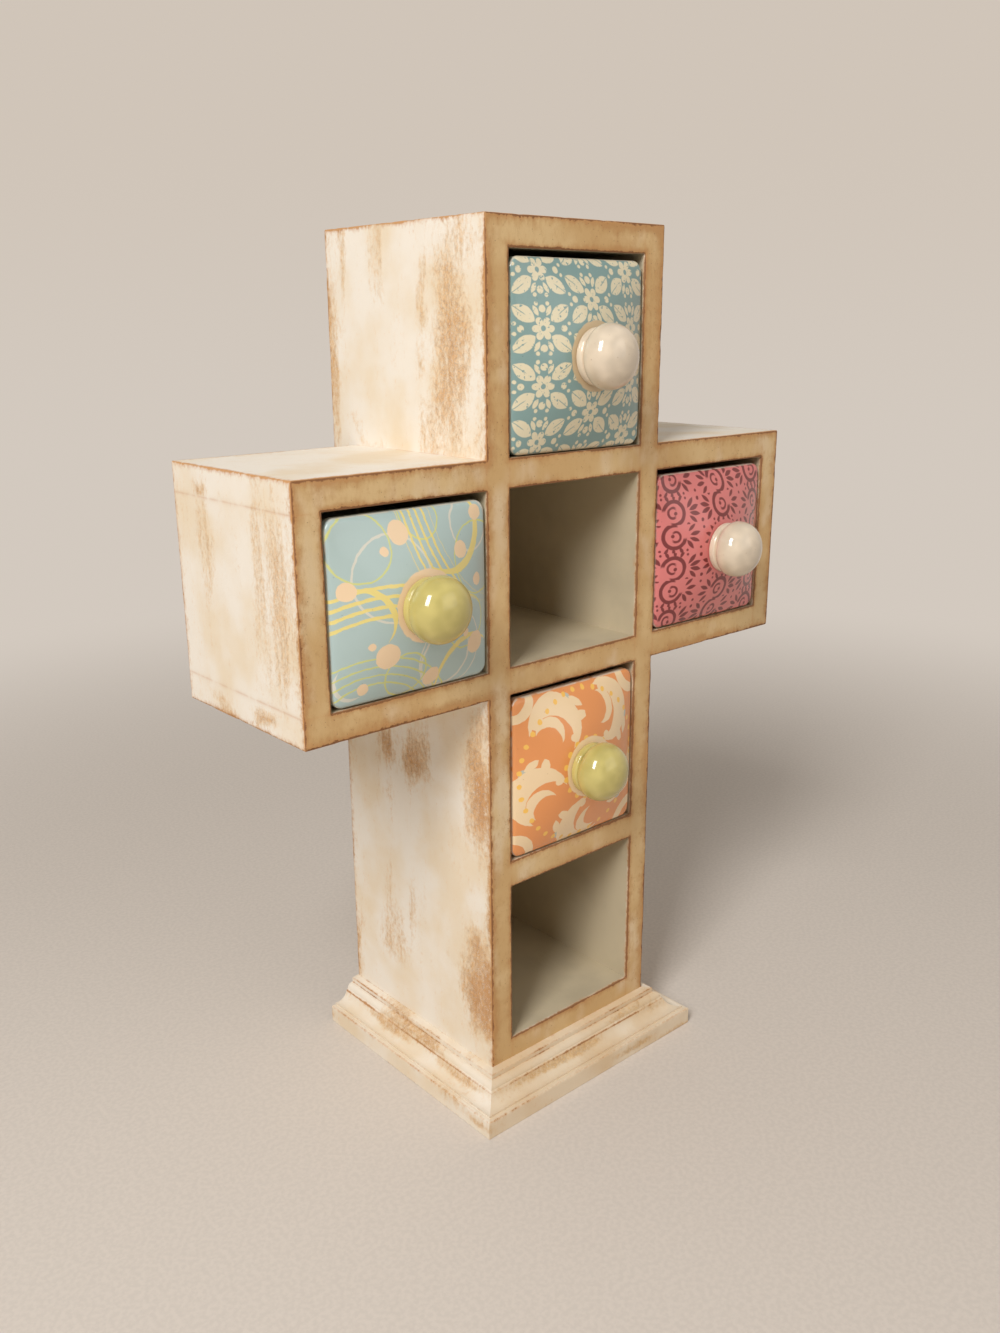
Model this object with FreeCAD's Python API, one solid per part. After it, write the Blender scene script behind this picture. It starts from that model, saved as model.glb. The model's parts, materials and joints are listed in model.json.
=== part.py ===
"""Cross-shaped tea bag organizer: a painted wooden column with two side arms,
a mitred plinth moulding, two open pigeonholes and four glazed stoneware drawers.

Millimetres, +Z up, the front faces -Y. The origin is on the table, under the
middle of the whole object's width and depth.
"""
import FreeCAD, Part
import math
import os

# Carcass boards
board = 12.0
cell_width = 76.0
cell_height = 76.0
cell_count = 4
arm_row = 2
arm_cell_drop = 2.1
column_depth = 106.0
arm_depth = 88.0
floor_clearance = 18.0
edge_ease = 0.8

# Thin back panels, set in a rebate and held by panel pins
back_thickness = 3.0
rebate_width = 6.0
back_play = 0.4
pin_radius = 0.6
pin_head_radius = 1.1
pin_head_depth = 0.6
pin_length = 12.0
pin_spacing = 44.0

# Plinth moulding, from the top down: a fillet, an ovolo, a cove and a square foot
plinth_height = 20.0
plinth_reach = 17.0
fillet_reach = 3.8
fillet_slope = 0.5
fillet_drop = 2.3
ovolo_reach = 3.1
ovolo_drop = 2.7
quirk = 0.5
foot_height = 8.5
foot_ledge = 2.4
foot_ease = 0.8
cove_hollow = 1.7

# Stoneware drawers
side_gap = 0.8
top_gap = 2.6
slide_gap = 0.3
back_gap = 0.5
front_recess = 0.3
front_wall = 6.0
drawer_wall = 4.5
drawer_floor = 5.0
corner_radius = 5.0
front_edge_radius = 1.8
front_swell = 10.4
knob_seat_rise = 9.3
back_edge_radius = 2.0
inner_radius = 3.5
rim_drop = 9.0

# Knob, measured outwards from its flat seat on the drawer front
knob_length = 17.8
head_radius = 13.0
head_start = 4.4
head_widest = 7.6
head_squareness = 2.2
head_steps = 6
groove_radius = 10.5
collar_radius = 11.5
collar_round = 0.9
collar_length = 3.6

# Knob fixing: a machine screw from inside the drawer into a threaded brass sleeve
screw_radius = 1.75
screw_hole_play = 0.2
screw_reach = 9.0
screw_head_radius = 3.6
screw_head_height = 2.4
drive_slot_width = 1.0
drive_slot_depth = 1.3
drive_slot_length = 4.2
washer_radius = 5.5
washer_thickness = 1.0
sleeve_radius = 3.0
sleeve_length = 10.0

# Sizes that follow from the ones above
pitch = cell_height + board
half_cell = cell_width / 2
half_column = half_cell + board
column_height = floor_clearance + cell_count * pitch + board
arm_floor = floor_clearance + arm_row * pitch
arm_top = arm_floor + pitch - arm_cell_drop + board
half_span = half_column + cell_width + board
knob_stand_out = knob_seat_rise + knob_length - front_recess
front_y = -(column_depth - knob_stand_out) / 2
column_back_y = front_y + column_depth
arm_back_y = front_y + arm_depth
drawer_width = cell_width - 2 * side_gap
drawer_face_y = front_y + front_recess
knob_seat_y = drawer_face_y - knob_seat_rise


def box(x_range, y_range, z_range):
    """Block between the two values given on each axis."""
    corner = FreeCAD.Vector(min(x_range), min(y_range), min(z_range))
    return Part.makeBox(abs(x_range[1] - x_range[0]), abs(y_range[1] - y_range[0]),
                        abs(z_range[1] - z_range[0]), corner)


def eased(shape, chosen, radius=edge_ease):
    """Round the straight edges whose middle the function chosen accepts."""
    edges = [edge for edge in shape.Edges if chosen(edge.CenterOfMass)]
    return shape.makeFillet(radius, edges)


def near(value, target):
    return abs(value - target) < 0.01


def save(node, shape):
    shape.exportStep(f"parts/{node}.step")


def board_z(level):
    """Height of a column board's lower face. The board over the arms' row lies lower than an even division."""
    return floor_clearance + level * pitch - (arm_cell_drop if level == arm_row + 1 else 0)


def cell_floor_z(row):
    """Height of the upper face of the board under a row of cells."""
    return board_z(row) + board


# Back panels and their pins

def recess(x_range, z_range, back_y):
    """Space that a back panel is let into: the opening plus a rebate on its far edges."""
    return box(x_range, (back_y - back_thickness, back_y + back_thickness), z_range)


def back_panel(x_range, z_range, back_y):
    low_x, high_x = sorted(x_range)
    low_z, high_z = sorted(z_range)
    return box((low_x + back_play, high_x - back_play), (back_y - back_thickness, back_y),
               (low_z + back_play, high_z - back_play))


def pin(x, z, back_y):
    """Panel pin driven flush from behind."""
    tip_y = back_y - pin_length
    forward = FreeCAD.Vector(0, 1, 0)
    shank = Part.makeCylinder(pin_radius, pin_length, FreeCAD.Vector(x, tip_y, z), forward)
    head_y = back_y - pin_head_depth
    head = Part.makeCylinder(pin_head_radius, pin_head_depth, FreeCAD.Vector(x, head_y, z), forward)
    return shank.fuse(head).removeSplitter()


def spread(low, high):
    """Both ends, and places one pin spacing apart from the middle outwards."""
    middle = (low + high) / 2
    count = math.floor((high - middle) / pin_spacing - 0.5)
    inner = [middle + step * pin_spacing for step in range(-count, count + 1)]
    return [low, *inner, high]


def pins_around(x_range, z_range, back_y, open_side=None):
    """Pins along the panel's rebated edges, leaving out the edge at x = open_side."""
    inset = rebate_width / 2
    low_x, high_x = sorted(x_range)
    low_z, high_z = sorted(z_range)
    rows = (low_z + inset, high_z - inset)
    places = [(x, z) for x in spread(low_x + inset, high_x - inset) for z in rows]
    uprights = [x for x in (low_x, high_x) if x != open_side]
    for x in uprights:
        inner_x = x + inset if x == low_x else x - inset
        places += [(inner_x, z) for z in spread(*rows)[1:-1]]
    return Part.makeCompound([pin(x, z, back_y) for x, z in places])


# Column

def column_side(side, space, pins):
    """Full-height side board; side is -1 for the left and 1 for the right."""
    outer_x = side * half_column
    blank = box((side * half_cell, outer_x), (front_y, column_back_y), (0, column_height))
    shaped = eased(blank, lambda p: near(p.x, outer_x) and (near(p.y, front_y) or near(p.z, column_height)))
    return shaped.cut(space).cut(pins)


def column_shelf(level, space, pins):
    """Board across the column; level 0 is the floor and the last level is the top."""
    low_z = board_z(level)
    blank = box((-half_cell, half_cell), (front_y, column_back_y), (low_z, low_z + board))
    if level == cell_count:
        blank = eased(blank, lambda p: near(p.y, front_y) and near(p.z, column_height))
    return blank.cut(space).cut(pins)


def make_column():
    panel_x = (-half_cell - rebate_width, half_cell + rebate_width)
    panel_z = (cell_floor_z(0) - rebate_width, column_height - board + rebate_width)
    space = recess(panel_x, panel_z, column_back_y)
    pins = pins_around(panel_x, panel_z, column_back_y)
    save("column_side_left", column_side(-1, space, pins))
    save("column_side_right", column_side(1, space, pins))
    levels = ("column_floor", "shelf_lower", "shelf_middle", "shelf_upper", "column_top")
    for level, node in enumerate(levels):
        save(node, column_shelf(level, space, pins))
    save("column_back_panel", back_panel(panel_x, panel_z, column_back_y).cut(pins))
    save("column_back_pins", pins)


# Arms

def arm_board(side, low_z, reach, space, pins):
    """Upper or lower board of an arm, butted against the column's side."""
    outer_x = side * reach
    at_top = low_z > arm_floor
    outer_z = arm_top if at_top else arm_floor
    blank = box((side * half_column, outer_x), (front_y, arm_back_y), (low_z, low_z + board))
    runs_through = near(reach, half_span)

    def outside(p):
        on_front = near(p.y, front_y) and near(p.z, outer_z)
        on_end = runs_through and near(p.x, outer_x) and (near(p.y, front_y) or near(p.z, outer_z))
        return on_front or on_end

    return eased(blank, outside).cut(space).cut(pins)


def arm_end(side, z_range, space, pins):
    """Upright board at the tip of an arm."""
    outer_x = side * half_span
    full_height = near(z_range[0], arm_floor)
    blank = box((outer_x - side * board, outer_x), (front_y, arm_back_y), z_range)

    def outside(p):
        on_front = near(p.x, outer_x) and near(p.y, front_y)
        on_ends = full_height and near(p.x, outer_x) and (near(p.z, arm_floor) or near(p.z, arm_top))
        return on_front or on_ends

    return eased(blank, outside).cut(space).cut(pins)


def make_arm(name, side, end_full_height):
    """One arm. Either its end board runs full height, or the boards run over the end."""
    inner_z = (arm_floor + board, arm_top - board)
    panel_x = (side * half_column, side * (half_span - board + rebate_width))
    panel_z = (inner_z[0] - rebate_width, inner_z[1] + rebate_width)
    space = recess(panel_x, panel_z, arm_back_y)
    pins = pins_around(panel_x, panel_z, arm_back_y, open_side=panel_x[0])
    reach = half_span - board if end_full_height else half_span
    end_z = (arm_floor, arm_top) if end_full_height else inner_z
    save(f"{name}_top", arm_board(side, inner_z[1], reach, space, pins))
    save(f"{name}_bottom", arm_board(side, arm_floor, reach, space, pins))
    save(f"{name}_end", arm_end(side, end_z, space, pins))
    save(f"{name}_back_panel", back_panel(panel_x, panel_z, arm_back_y).cut(pins))
    save(f"{name}_back_pins", pins)


# Plinth

def moulding_face(place):
    """Closed section of the moulding; place turns (reach, height) into a point."""
    fillet_z = plinth_height - fillet_slope
    step_z = fillet_z - fillet_drop
    ovolo_x = fillet_reach + ovolo_reach
    ovolo_z = step_z - ovolo_drop
    cove_start = (ovolo_x + quirk, ovolo_z - quirk)
    cove_end = (plinth_reach - foot_ledge, foot_height + quirk)
    cove_middle = ((cove_start[0] + cove_end[0]) / 2 - cove_hollow / math.sqrt(2),
                   (cove_start[1] + cove_end[1]) / 2 - cove_hollow / math.sqrt(2))
    bulge = math.sqrt(0.5)
    ovolo_middle = (fillet_reach + ovolo_reach * bulge, ovolo_z + ovolo_drop * bulge)
    ease_middle = (plinth_reach - foot_ease * (1 - bulge), foot_height - foot_ease * (1 - bulge))

    def line(a, b):
        return Part.LineSegment(place(*a), place(*b)).toShape()

    def arc(a, b, c):
        return Part.Arc(place(*a), place(*b), place(*c)).toShape()

    edges = [
        line((0, 0), (0, plinth_height)),
        line((0, plinth_height), (fillet_reach, fillet_z)),
        line((fillet_reach, fillet_z), (fillet_reach, step_z)),
        arc((fillet_reach, step_z), ovolo_middle, (ovolo_x, ovolo_z)),
        line((ovolo_x, ovolo_z), cove_start),
        arc(cove_start, cove_middle, cove_end),
        line(cove_end, (plinth_reach - foot_ledge, foot_height)),
        line((plinth_reach - foot_ledge, foot_height), (plinth_reach - foot_ease, foot_height)),
        arc((plinth_reach - foot_ease, foot_height), ease_middle, (plinth_reach, foot_height - foot_ease)),
        line((plinth_reach, foot_height - foot_ease), (plinth_reach, 0)),
        line((plinth_reach, 0), (0, 0)),
    ]
    return Part.Face(Part.Wire(edges))


def plan_block(corners):
    """Upright prism over the given (x, y) corners, a little taller than the plinth."""
    points = [FreeCAD.Vector(x, y, 0) for x, y in corners + corners[:1]]
    return Part.Face(Part.makePolygon(points)).extrude(FreeCAD.Vector(0, 0, plinth_height + board))


def make_plinth():
    """Front and two side lengths of moulding, mitred at the front, square at the back."""
    tip_x = half_column + plinth_reach
    tip_y = front_y - plinth_reach
    front_face = moulding_face(lambda reach, height: FreeCAD.Vector(-tip_x, front_y - reach, height))
    front_run = front_face.extrude(FreeCAD.Vector(2 * tip_x, 0, 0))
    mitred = plan_block([(-half_column, front_y), (half_column, front_y), (tip_x, tip_y), (-tip_x, tip_y)])
    save("plinth_front", front_run.common(mitred))
    for node, side in (("plinth_left", -1), ("plinth_right", 1)):
        inner_x = side * half_column
        face = moulding_face(lambda reach, height: FreeCAD.Vector(inner_x + side * reach, tip_y, height))
        run = face.extrude(FreeCAD.Vector(0, column_back_y - tip_y, 0))
        mitred = plan_block([(inner_x, front_y), (side * tip_x, tip_y),
                             (side * tip_x, column_back_y), (inner_x, column_back_y)])
        save(node, run.common(mitred))


# Drawers

def swollen_block(x_middle, z_middle, half_width, half_height, length):
    """Block whose front swells like a cushion, by one parabola across and one up, and is level at the rim."""
    reach = 1.1
    share = (1 - reach ** 2, 1 + reach ** 2, 1 - reach ** 2)
    surface = Part.BezierSurface()
    surface.increase(2, 2)
    for column in range(3):
        for row in range(3):
            rise = front_swell * share[column] * share[row]
            pole = FreeCAD.Vector(x_middle + (column - 1) * reach * half_width, drawer_face_y - rise,
                                  z_middle + (row - 1) * reach * half_height)
            surface.setPole(column + 1, row + 1, pole)
    return surface.toShape().extrude(FreeCAD.Vector(0, length + 2 * front_swell, 0))


def drawer_shell(x_middle, low_z, high_z, length):
    """Slip-cast box with rounded corners, a tall swollen front and lower side and back walls."""
    half_width = drawer_width / 2
    back_y = drawer_face_y + length
    block = box((x_middle - half_width, x_middle + half_width), (knob_seat_y, back_y), (low_z, high_z))
    middle_y = (knob_seat_y + back_y) / 2
    outer = eased(block, lambda p: near(p.y, middle_y) and not near(p.x, x_middle), corner_radius)
    swollen = swollen_block(x_middle, (low_z + high_z) / 2, half_width, (high_z - low_z) / 2, length)
    outer = outer.common(swollen)
    outer = eased(outer, lambda p: abs(p.y - drawer_face_y) < front_edge_radius / 2, front_edge_radius)
    outer = eased(outer, lambda p: near(p.y, back_y), back_edge_radius)
    inner_x = (x_middle - half_width + drawer_wall, x_middle + half_width - drawer_wall)
    inner_y = (drawer_face_y + front_wall, back_y - drawer_wall)
    hollow = box(inner_x, inner_y, (low_z + drawer_floor, high_z + board))
    hollow = eased(hollow, lambda p: not near(p.z, high_z + board), inner_radius)
    above_rim = box((x_middle - drawer_width, x_middle + drawer_width),
                    (inner_y[0], back_y + board), (high_z - rim_drop, high_z + board))
    return outer.cut(hollow).cut(above_rim)


def head_outline():
    """Head of the knob as (radius, height): a quarter ellipse, then a squarer quarter dome."""
    steps = [math.pi / 2 * step / head_steps for step in range(head_steps + 1)]
    shoulder = [(groove_radius + (head_radius - groove_radius) * math.sin(turn),
                 head_widest - (head_widest - head_start) * math.cos(turn)) for turn in steps[::2]]
    dome = [(head_radius * math.cos(turn) ** (2 / head_squareness),
             head_widest + (knob_length - head_widest) * math.sin(turn) ** (2 / head_squareness))
            for turn in steps[1:-1]]
    return shoulder + dome + [(0, knob_length)]


def knob_shell(x_middle, z_middle):
    """Glazed mushroom knob: collar on the seat, groove and domed head."""
    def place(radius, height):
        return FreeCAD.Vector(x_middle + radius, knob_seat_y - height, z_middle)

    def line(a, b):
        return Part.LineSegment(place(*a), place(*b)).toShape()

    def smooth(points):
        curve = Part.BSplineCurve()
        curve.interpolate([place(*point) for point in points])
        return curve.toShape()

    bulge = collar_round * math.sqrt(0.5)
    rear_edge = Part.Arc(place(collar_radius - collar_round, 0),
                         place(collar_radius - collar_round + bulge, collar_round - bulge),
                         place(collar_radius, collar_round))
    fore_edge = Part.Arc(place(collar_radius, collar_length - collar_round),
                         place(collar_radius - collar_round + bulge, collar_length - collar_round + bulge),
                         place(collar_radius - collar_round, collar_length))
    edges = [
        line((0, 0), (collar_radius - collar_round, 0)),
        rear_edge.toShape(),
        line((collar_radius, collar_round), (collar_radius, collar_length - collar_round)),
        fore_edge.toShape(),
        line((collar_radius - collar_round, collar_length), (groove_radius, head_start)),
        smooth(head_outline()),
        line((0, knob_length), (0, 0)),
    ]
    section = Part.Face(Part.Wire(edges))
    return section.revolve(place(0, 0), FreeCAD.Vector(0, 1, 0), 360)


def rod(x, z, radius, y_start, y_end):
    """Cylinder lying front to back."""
    start = FreeCAD.Vector(x, min(y_start, y_end), z)
    return Part.makeCylinder(radius, abs(y_end - y_start), start, FreeCAD.Vector(0, 1, 0))


def knob_screw(x, z, seat_y):
    """Pan-head machine screw, its head bearing on the washer at seat_y."""
    tip_y = knob_seat_y - screw_reach
    head_y = seat_y + screw_head_height
    head = rod(x, z, screw_head_radius, seat_y, head_y)
    head = eased(head, lambda p: near(p.y, head_y), screw_head_height / 3)
    slot_y = (head_y - drive_slot_depth, head_y)
    across = (-drive_slot_length / 2, drive_slot_length / 2)
    narrow = (-drive_slot_width / 2, drive_slot_width / 2)
    flat = box((x + across[0], x + across[1]), slot_y, (z + narrow[0], z + narrow[1]))
    upright = box((x + narrow[0], x + narrow[1]), slot_y, (z + across[0], z + across[1]))
    shank = rod(x, z, screw_radius, tip_y, seat_y)
    return head.fuse(shank).removeSplitter().cut(flat).cut(upright)


def make_drawer(name, x_middle, row, cell_back_y):
    low_z = cell_floor_z(row) + slide_gap
    high_z = board_z(row + 1) - top_gap
    knob_z = (low_z + high_z) / 2
    length = cell_back_y - back_gap - drawer_face_y
    wall_back_y = drawer_face_y + front_wall
    seat_y = wall_back_y + washer_thickness
    sleeve_end_y = knob_seat_y - sleeve_length
    screw_hole = rod(x_middle, knob_z, screw_radius + screw_hole_play, knob_seat_y, wall_back_y)
    sleeve_seat = rod(x_middle, knob_z, sleeve_radius, knob_seat_y, sleeve_end_y)
    thread = rod(x_middle, knob_z, screw_radius, knob_seat_y, knob_seat_y - screw_reach)
    washer = rod(x_middle, knob_z, washer_radius, wall_back_y, seat_y)
    washer_hole = rod(x_middle, knob_z, screw_radius, wall_back_y, seat_y)
    save(f"{name}_drawer", drawer_shell(x_middle, low_z, high_z, length).cut(screw_hole))
    save(f"{name}_knob", knob_shell(x_middle, knob_z).cut(sleeve_seat))
    save(f"{name}_knob_sleeve", sleeve_seat.cut(thread))
    save(f"{name}_knob_washer", washer.cut(washer_hole))
    save(f"{name}_knob_screw", knob_screw(x_middle, knob_z, seat_y))


def make_drawers():
    arm_x = half_column + half_cell
    column_cell_back = column_back_y - back_thickness
    arm_cell_back = arm_back_y - back_thickness
    make_drawer("upper", 0, cell_count - 1, column_cell_back)
    make_drawer("lower", 0, arm_row - 1, column_cell_back)
    make_drawer("left", -arm_x, arm_row, arm_cell_back)
    make_drawer("right", arm_x, arm_row, arm_cell_back)


os.makedirs("parts", exist_ok=True)
make_column()
make_arm("arm_left", -1, end_full_height=False)
make_arm("arm_right", 1, end_full_height=True)
make_plinth()
make_drawers()
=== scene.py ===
"""Cross-shaped tea bag organizer, dressed over its packed construction: worn painted boards, a mitred
plinth moulding, and four glazed stoneware drawers with turned knobs.

Metres, +Z up, the front faces -Y. Every finished piece has its place in its mesh, in the construction's
frame.
"""
import json
import math

import bpy
import numpy as np
from bpy.props import FloatProperty, FloatVectorProperty, IntProperty, PointerProperty
from bpy.types import Operator, Panel, PropertyGroup
from mathutils import Matrix, Vector
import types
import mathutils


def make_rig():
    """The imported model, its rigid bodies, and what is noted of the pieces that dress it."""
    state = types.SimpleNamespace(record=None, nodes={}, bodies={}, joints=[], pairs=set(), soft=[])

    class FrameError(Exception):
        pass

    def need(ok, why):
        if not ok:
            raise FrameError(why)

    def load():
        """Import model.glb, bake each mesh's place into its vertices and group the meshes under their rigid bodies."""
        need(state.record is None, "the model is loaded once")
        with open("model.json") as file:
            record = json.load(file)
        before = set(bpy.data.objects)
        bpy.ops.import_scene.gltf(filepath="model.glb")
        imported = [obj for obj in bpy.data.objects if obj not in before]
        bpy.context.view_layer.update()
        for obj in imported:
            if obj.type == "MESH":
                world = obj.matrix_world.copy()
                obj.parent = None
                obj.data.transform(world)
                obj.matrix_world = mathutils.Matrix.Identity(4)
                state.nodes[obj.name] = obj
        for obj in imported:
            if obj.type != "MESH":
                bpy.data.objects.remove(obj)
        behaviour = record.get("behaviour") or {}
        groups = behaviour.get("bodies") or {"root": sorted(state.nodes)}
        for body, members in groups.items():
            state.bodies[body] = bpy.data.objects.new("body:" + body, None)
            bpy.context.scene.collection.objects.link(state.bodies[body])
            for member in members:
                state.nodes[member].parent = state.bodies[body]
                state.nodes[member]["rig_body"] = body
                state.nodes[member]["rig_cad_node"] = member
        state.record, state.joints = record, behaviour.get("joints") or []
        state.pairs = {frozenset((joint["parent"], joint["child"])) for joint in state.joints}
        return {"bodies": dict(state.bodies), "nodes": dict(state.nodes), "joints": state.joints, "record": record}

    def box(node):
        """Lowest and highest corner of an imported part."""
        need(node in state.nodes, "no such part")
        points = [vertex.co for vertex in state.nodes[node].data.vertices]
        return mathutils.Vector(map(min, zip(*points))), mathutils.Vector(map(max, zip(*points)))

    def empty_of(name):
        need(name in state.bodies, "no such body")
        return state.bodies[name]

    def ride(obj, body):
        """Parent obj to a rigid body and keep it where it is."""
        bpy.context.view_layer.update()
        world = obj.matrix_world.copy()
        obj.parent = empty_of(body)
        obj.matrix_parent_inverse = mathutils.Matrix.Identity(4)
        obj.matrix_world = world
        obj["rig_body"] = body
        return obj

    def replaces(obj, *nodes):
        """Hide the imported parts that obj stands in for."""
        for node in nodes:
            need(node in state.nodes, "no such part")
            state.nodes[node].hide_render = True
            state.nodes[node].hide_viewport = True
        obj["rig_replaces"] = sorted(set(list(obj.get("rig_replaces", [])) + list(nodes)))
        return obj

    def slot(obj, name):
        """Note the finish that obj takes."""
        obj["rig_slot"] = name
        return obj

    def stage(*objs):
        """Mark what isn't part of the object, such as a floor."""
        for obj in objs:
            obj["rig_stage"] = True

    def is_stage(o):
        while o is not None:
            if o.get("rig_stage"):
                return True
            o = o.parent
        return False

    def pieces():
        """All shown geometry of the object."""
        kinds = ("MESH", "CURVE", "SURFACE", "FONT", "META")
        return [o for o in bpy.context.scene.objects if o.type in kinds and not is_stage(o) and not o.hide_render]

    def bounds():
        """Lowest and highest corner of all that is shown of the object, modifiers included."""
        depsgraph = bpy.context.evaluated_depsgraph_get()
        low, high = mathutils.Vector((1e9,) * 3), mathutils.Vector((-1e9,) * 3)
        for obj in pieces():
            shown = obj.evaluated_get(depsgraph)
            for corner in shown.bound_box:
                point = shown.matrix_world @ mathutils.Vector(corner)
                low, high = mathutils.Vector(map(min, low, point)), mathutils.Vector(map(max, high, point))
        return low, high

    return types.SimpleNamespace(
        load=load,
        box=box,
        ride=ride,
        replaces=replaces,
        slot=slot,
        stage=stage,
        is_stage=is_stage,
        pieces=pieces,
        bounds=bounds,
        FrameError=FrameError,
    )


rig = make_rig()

bl_info = {
    "name": "Tea Bag Organizer",
    "version": (1, 0, 0),
    "blender": (4, 5, 0),
    "location": "3D View > Sidebar > Tea Organizer",
    "description": "Dresses the organizer's boards, plinth, drawers and knobs, and sets its stage",
    "category": "Object",
}

SIZE_FILE = "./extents.json"
MM = 0.001
DRAWERS = ("upper", "lower", "left", "right")
ARMS = ("arm_left", "arm_right")
STEPS = ("carcass", "backs", "plinth", "drawers", "knobs", "fixings", "stage")

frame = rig.load()
construction_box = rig.bounds()


# Places read from the frame

def corners(node):
    """Lowest and highest corner of a construction node as two arrays."""
    low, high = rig.box(node)
    return np.array(low), np.array(high)


SIDE_LOW, SIDE_HIGH = corners("column_side_right")
ARM_HIGH = corners("arm_right_top")[1]
SPAN = float(corners("arm_right_end")[1][0])
FRONT = float(SIDE_LOW[1])
COLUMN_BACK = float(SIDE_HIGH[1])
ARM_BACK = float(ARM_HIGH[1])
COLUMN_HALF = float(SIDE_HIGH[0])
CELL_HALF = float(SIDE_LOW[0])
TOP = float(SIDE_HIGH[2])
ARM_BOTTOM = float(corners("arm_right_bottom")[0][2])
ARM_TOP = float(ARM_HIGH[2])
SHELVES = ("column_floor", "shelf_lower", "shelf_middle", "shelf_upper", "column_top")
BOARDS = ["column_side_left", "column_side_right", *SHELVES]
BOARDS += [f"{arm}_{part}" for arm in ARMS for part in ("top", "bottom", "end")]
PLINTH = ["plinth_front", "plinth_left", "plinth_right"]
SHELF_LEVELS = [tuple(float(corner[2]) for corner in corners(node)) for node in SHELVES]
ARM_MIDDLE = (COLUMN_HALF + SPAN - (COLUMN_HALF - CELL_HALF)) / 2

CELLS = [(0.0, (below[1] + above[0]) / 2, (above[0] - below[1]) / 2)
         for below, above in zip(SHELF_LEVELS, SHELF_LEVELS[1:])]
CELLS += [(side * ARM_MIDDLE, *CELLS[2][1:]) for side in (-1, 1)]
OUTER_CORNERS = [(side * x, z) for side in (-1, 1)
                 for x, z in ((COLUMN_HALF, TOP), (SPAN, ARM_TOP), (SPAN, ARM_BOTTOM))]

# How far across a face a point is put, to test what lies against the face
HAIR = 0.05 * MM

# How far the outlines of the rubbed places wander in y and z, in millimetres
RUB_WANDER = (9, 26)
# Rubbed places, in millimetres: the board face's x, then the middle's y and z, half sizes, and strength
RUBBED_PLACES = (
    (-50, -19, 338, 12, 40, 0.80), (-50, 0, 349, 3, 20, 0.62), (-50, 63, 325, 4, 40, 0.70),
    (-50, -30, 300, 16, 6, 0.45), (-50, -34, 372, 14, 6, 0.40), (-50, 40, 300, 20, 4, 0.35),
    (-138, -29, 243, 9, 38, 0.58), (-138, -14, 250, 5, 30, 0.45), (-138, 25, 256, 5, 30, 0.45),
    (-138, 26, 288, 5, 6, 0.68), (-138, 19, 199, 8, 6, 0.75), (-138, -14, 201, 8, 6, 0.78),
    (-50, 33, 152, 8, 15, 0.80), (-50, 12, 152, 9, 18, 0.88), (-50, -34, 147, 11, 30, 0.98),
    (-50, -41, 104, 4, 26, 0.80), (-50, -33, 55, 13, 30, 1.05), (-50, 34, 56, 12, 16, 0.50),
    (-50, 64, 38, 4, 20, 0.60),
    (50, -26, 343, 10, 34, 0.80), (50, 30, 330, 8, 26, 0.55), (50, -36, 60, 10, 34, 0.95),
    (50, 20, 90, 9, 36, 0.65), (50, 46, 148, 12, 20, 0.75), (138, -24, 232, 8, 30, 0.75),
    (138, 16, 262, 7, 24, 0.60), (138, -2, 200, 14, 5, 0.70),
)


# Shapes and smooth fields

def smooth(value, low, high):
    """Zero below low, one above high, and an S-shaped cubic between them."""
    part = np.clip((value - low) / (high - low), 0, 1)
    return part * part * (3 - 2 * part)


def lumps(points, size, seed):
    """Smooth random field from 0 to 1: random numbers at the corners of cells of the given size, blended
    along each axis with a cubic weight."""
    period = 32  # cells along each axis before the numbers come round again
    table = np.random.default_rng(seed).random((period,) * 3)
    scaled = points / size
    low = np.floor(scaled).astype(int)
    part = smooth(scaled - low, 0, 1)
    total = np.zeros(len(points))
    for corner in np.ndindex(2, 2, 2):
        weight = np.prod(np.where(corner, part, 1 - part), axis=1)
        total += weight * table[tuple(((low + corner) % period).T)]
    return total


def block_skin(filled):
    """Skin of the filled cells of a lattice: every square between a filled and an empty cell, turned
    outwards. Returns the lattice corners in use and the squares as four numbers of corners."""
    padded = np.pad(filled, 1).astype(np.int8)
    loops = []
    for axis in range(3):
        change = np.diff(padded, axis=axis)
        along = np.eye(3, dtype=int)[(axis + 1) % 3]
        across = np.eye(3, dtype=int)[(axis + 2) % 3]
        for sign in (1, -1):
            base = np.argwhere(change == sign) - 1
            base[:, axis] += 1
            loop = np.stack([base, base + along, base + along + across, base + across], axis=1)
            loops.append(loop if sign < 0 else loop[:, ::-1])
    used, number = np.unique(np.concatenate(loops).reshape(-1, 3), axis=0, return_inverse=True)
    return used, number.reshape(-1, 4)


def graded(low, high, steps, spacing, extra=()):
    """Lattice lines from low to high: at the given steps in from both ends, one spacing apart between."""
    steps = np.asarray(steps)
    count = max(2, int(round((high - low - 2 * steps[-1]) / spacing)) + 1)
    middle = np.linspace(low + steps[-1], high - steps[-1], count)
    kept = [value for value in extra if low < value < high]
    lines = np.concatenate([low + steps, middle, high - steps, kept])
    return np.unique(np.round(lines, 7))


def cell_middles(lines):
    """Middle point of every cell between the three sets of lattice lines, as three arrays."""
    return np.meshgrid(*[(values[1:] + values[:-1]) / 2 for values in lines], indexing="ij")


def box_gap(x, z, middle_x, middle_z, half_x, half_z):
    """Distance to an upright rectangle, by the larger of the two axes: positive outside, negative inside."""
    return np.maximum(np.abs(x - middle_x) - half_x, np.abs(z - middle_z) - half_z)


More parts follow.
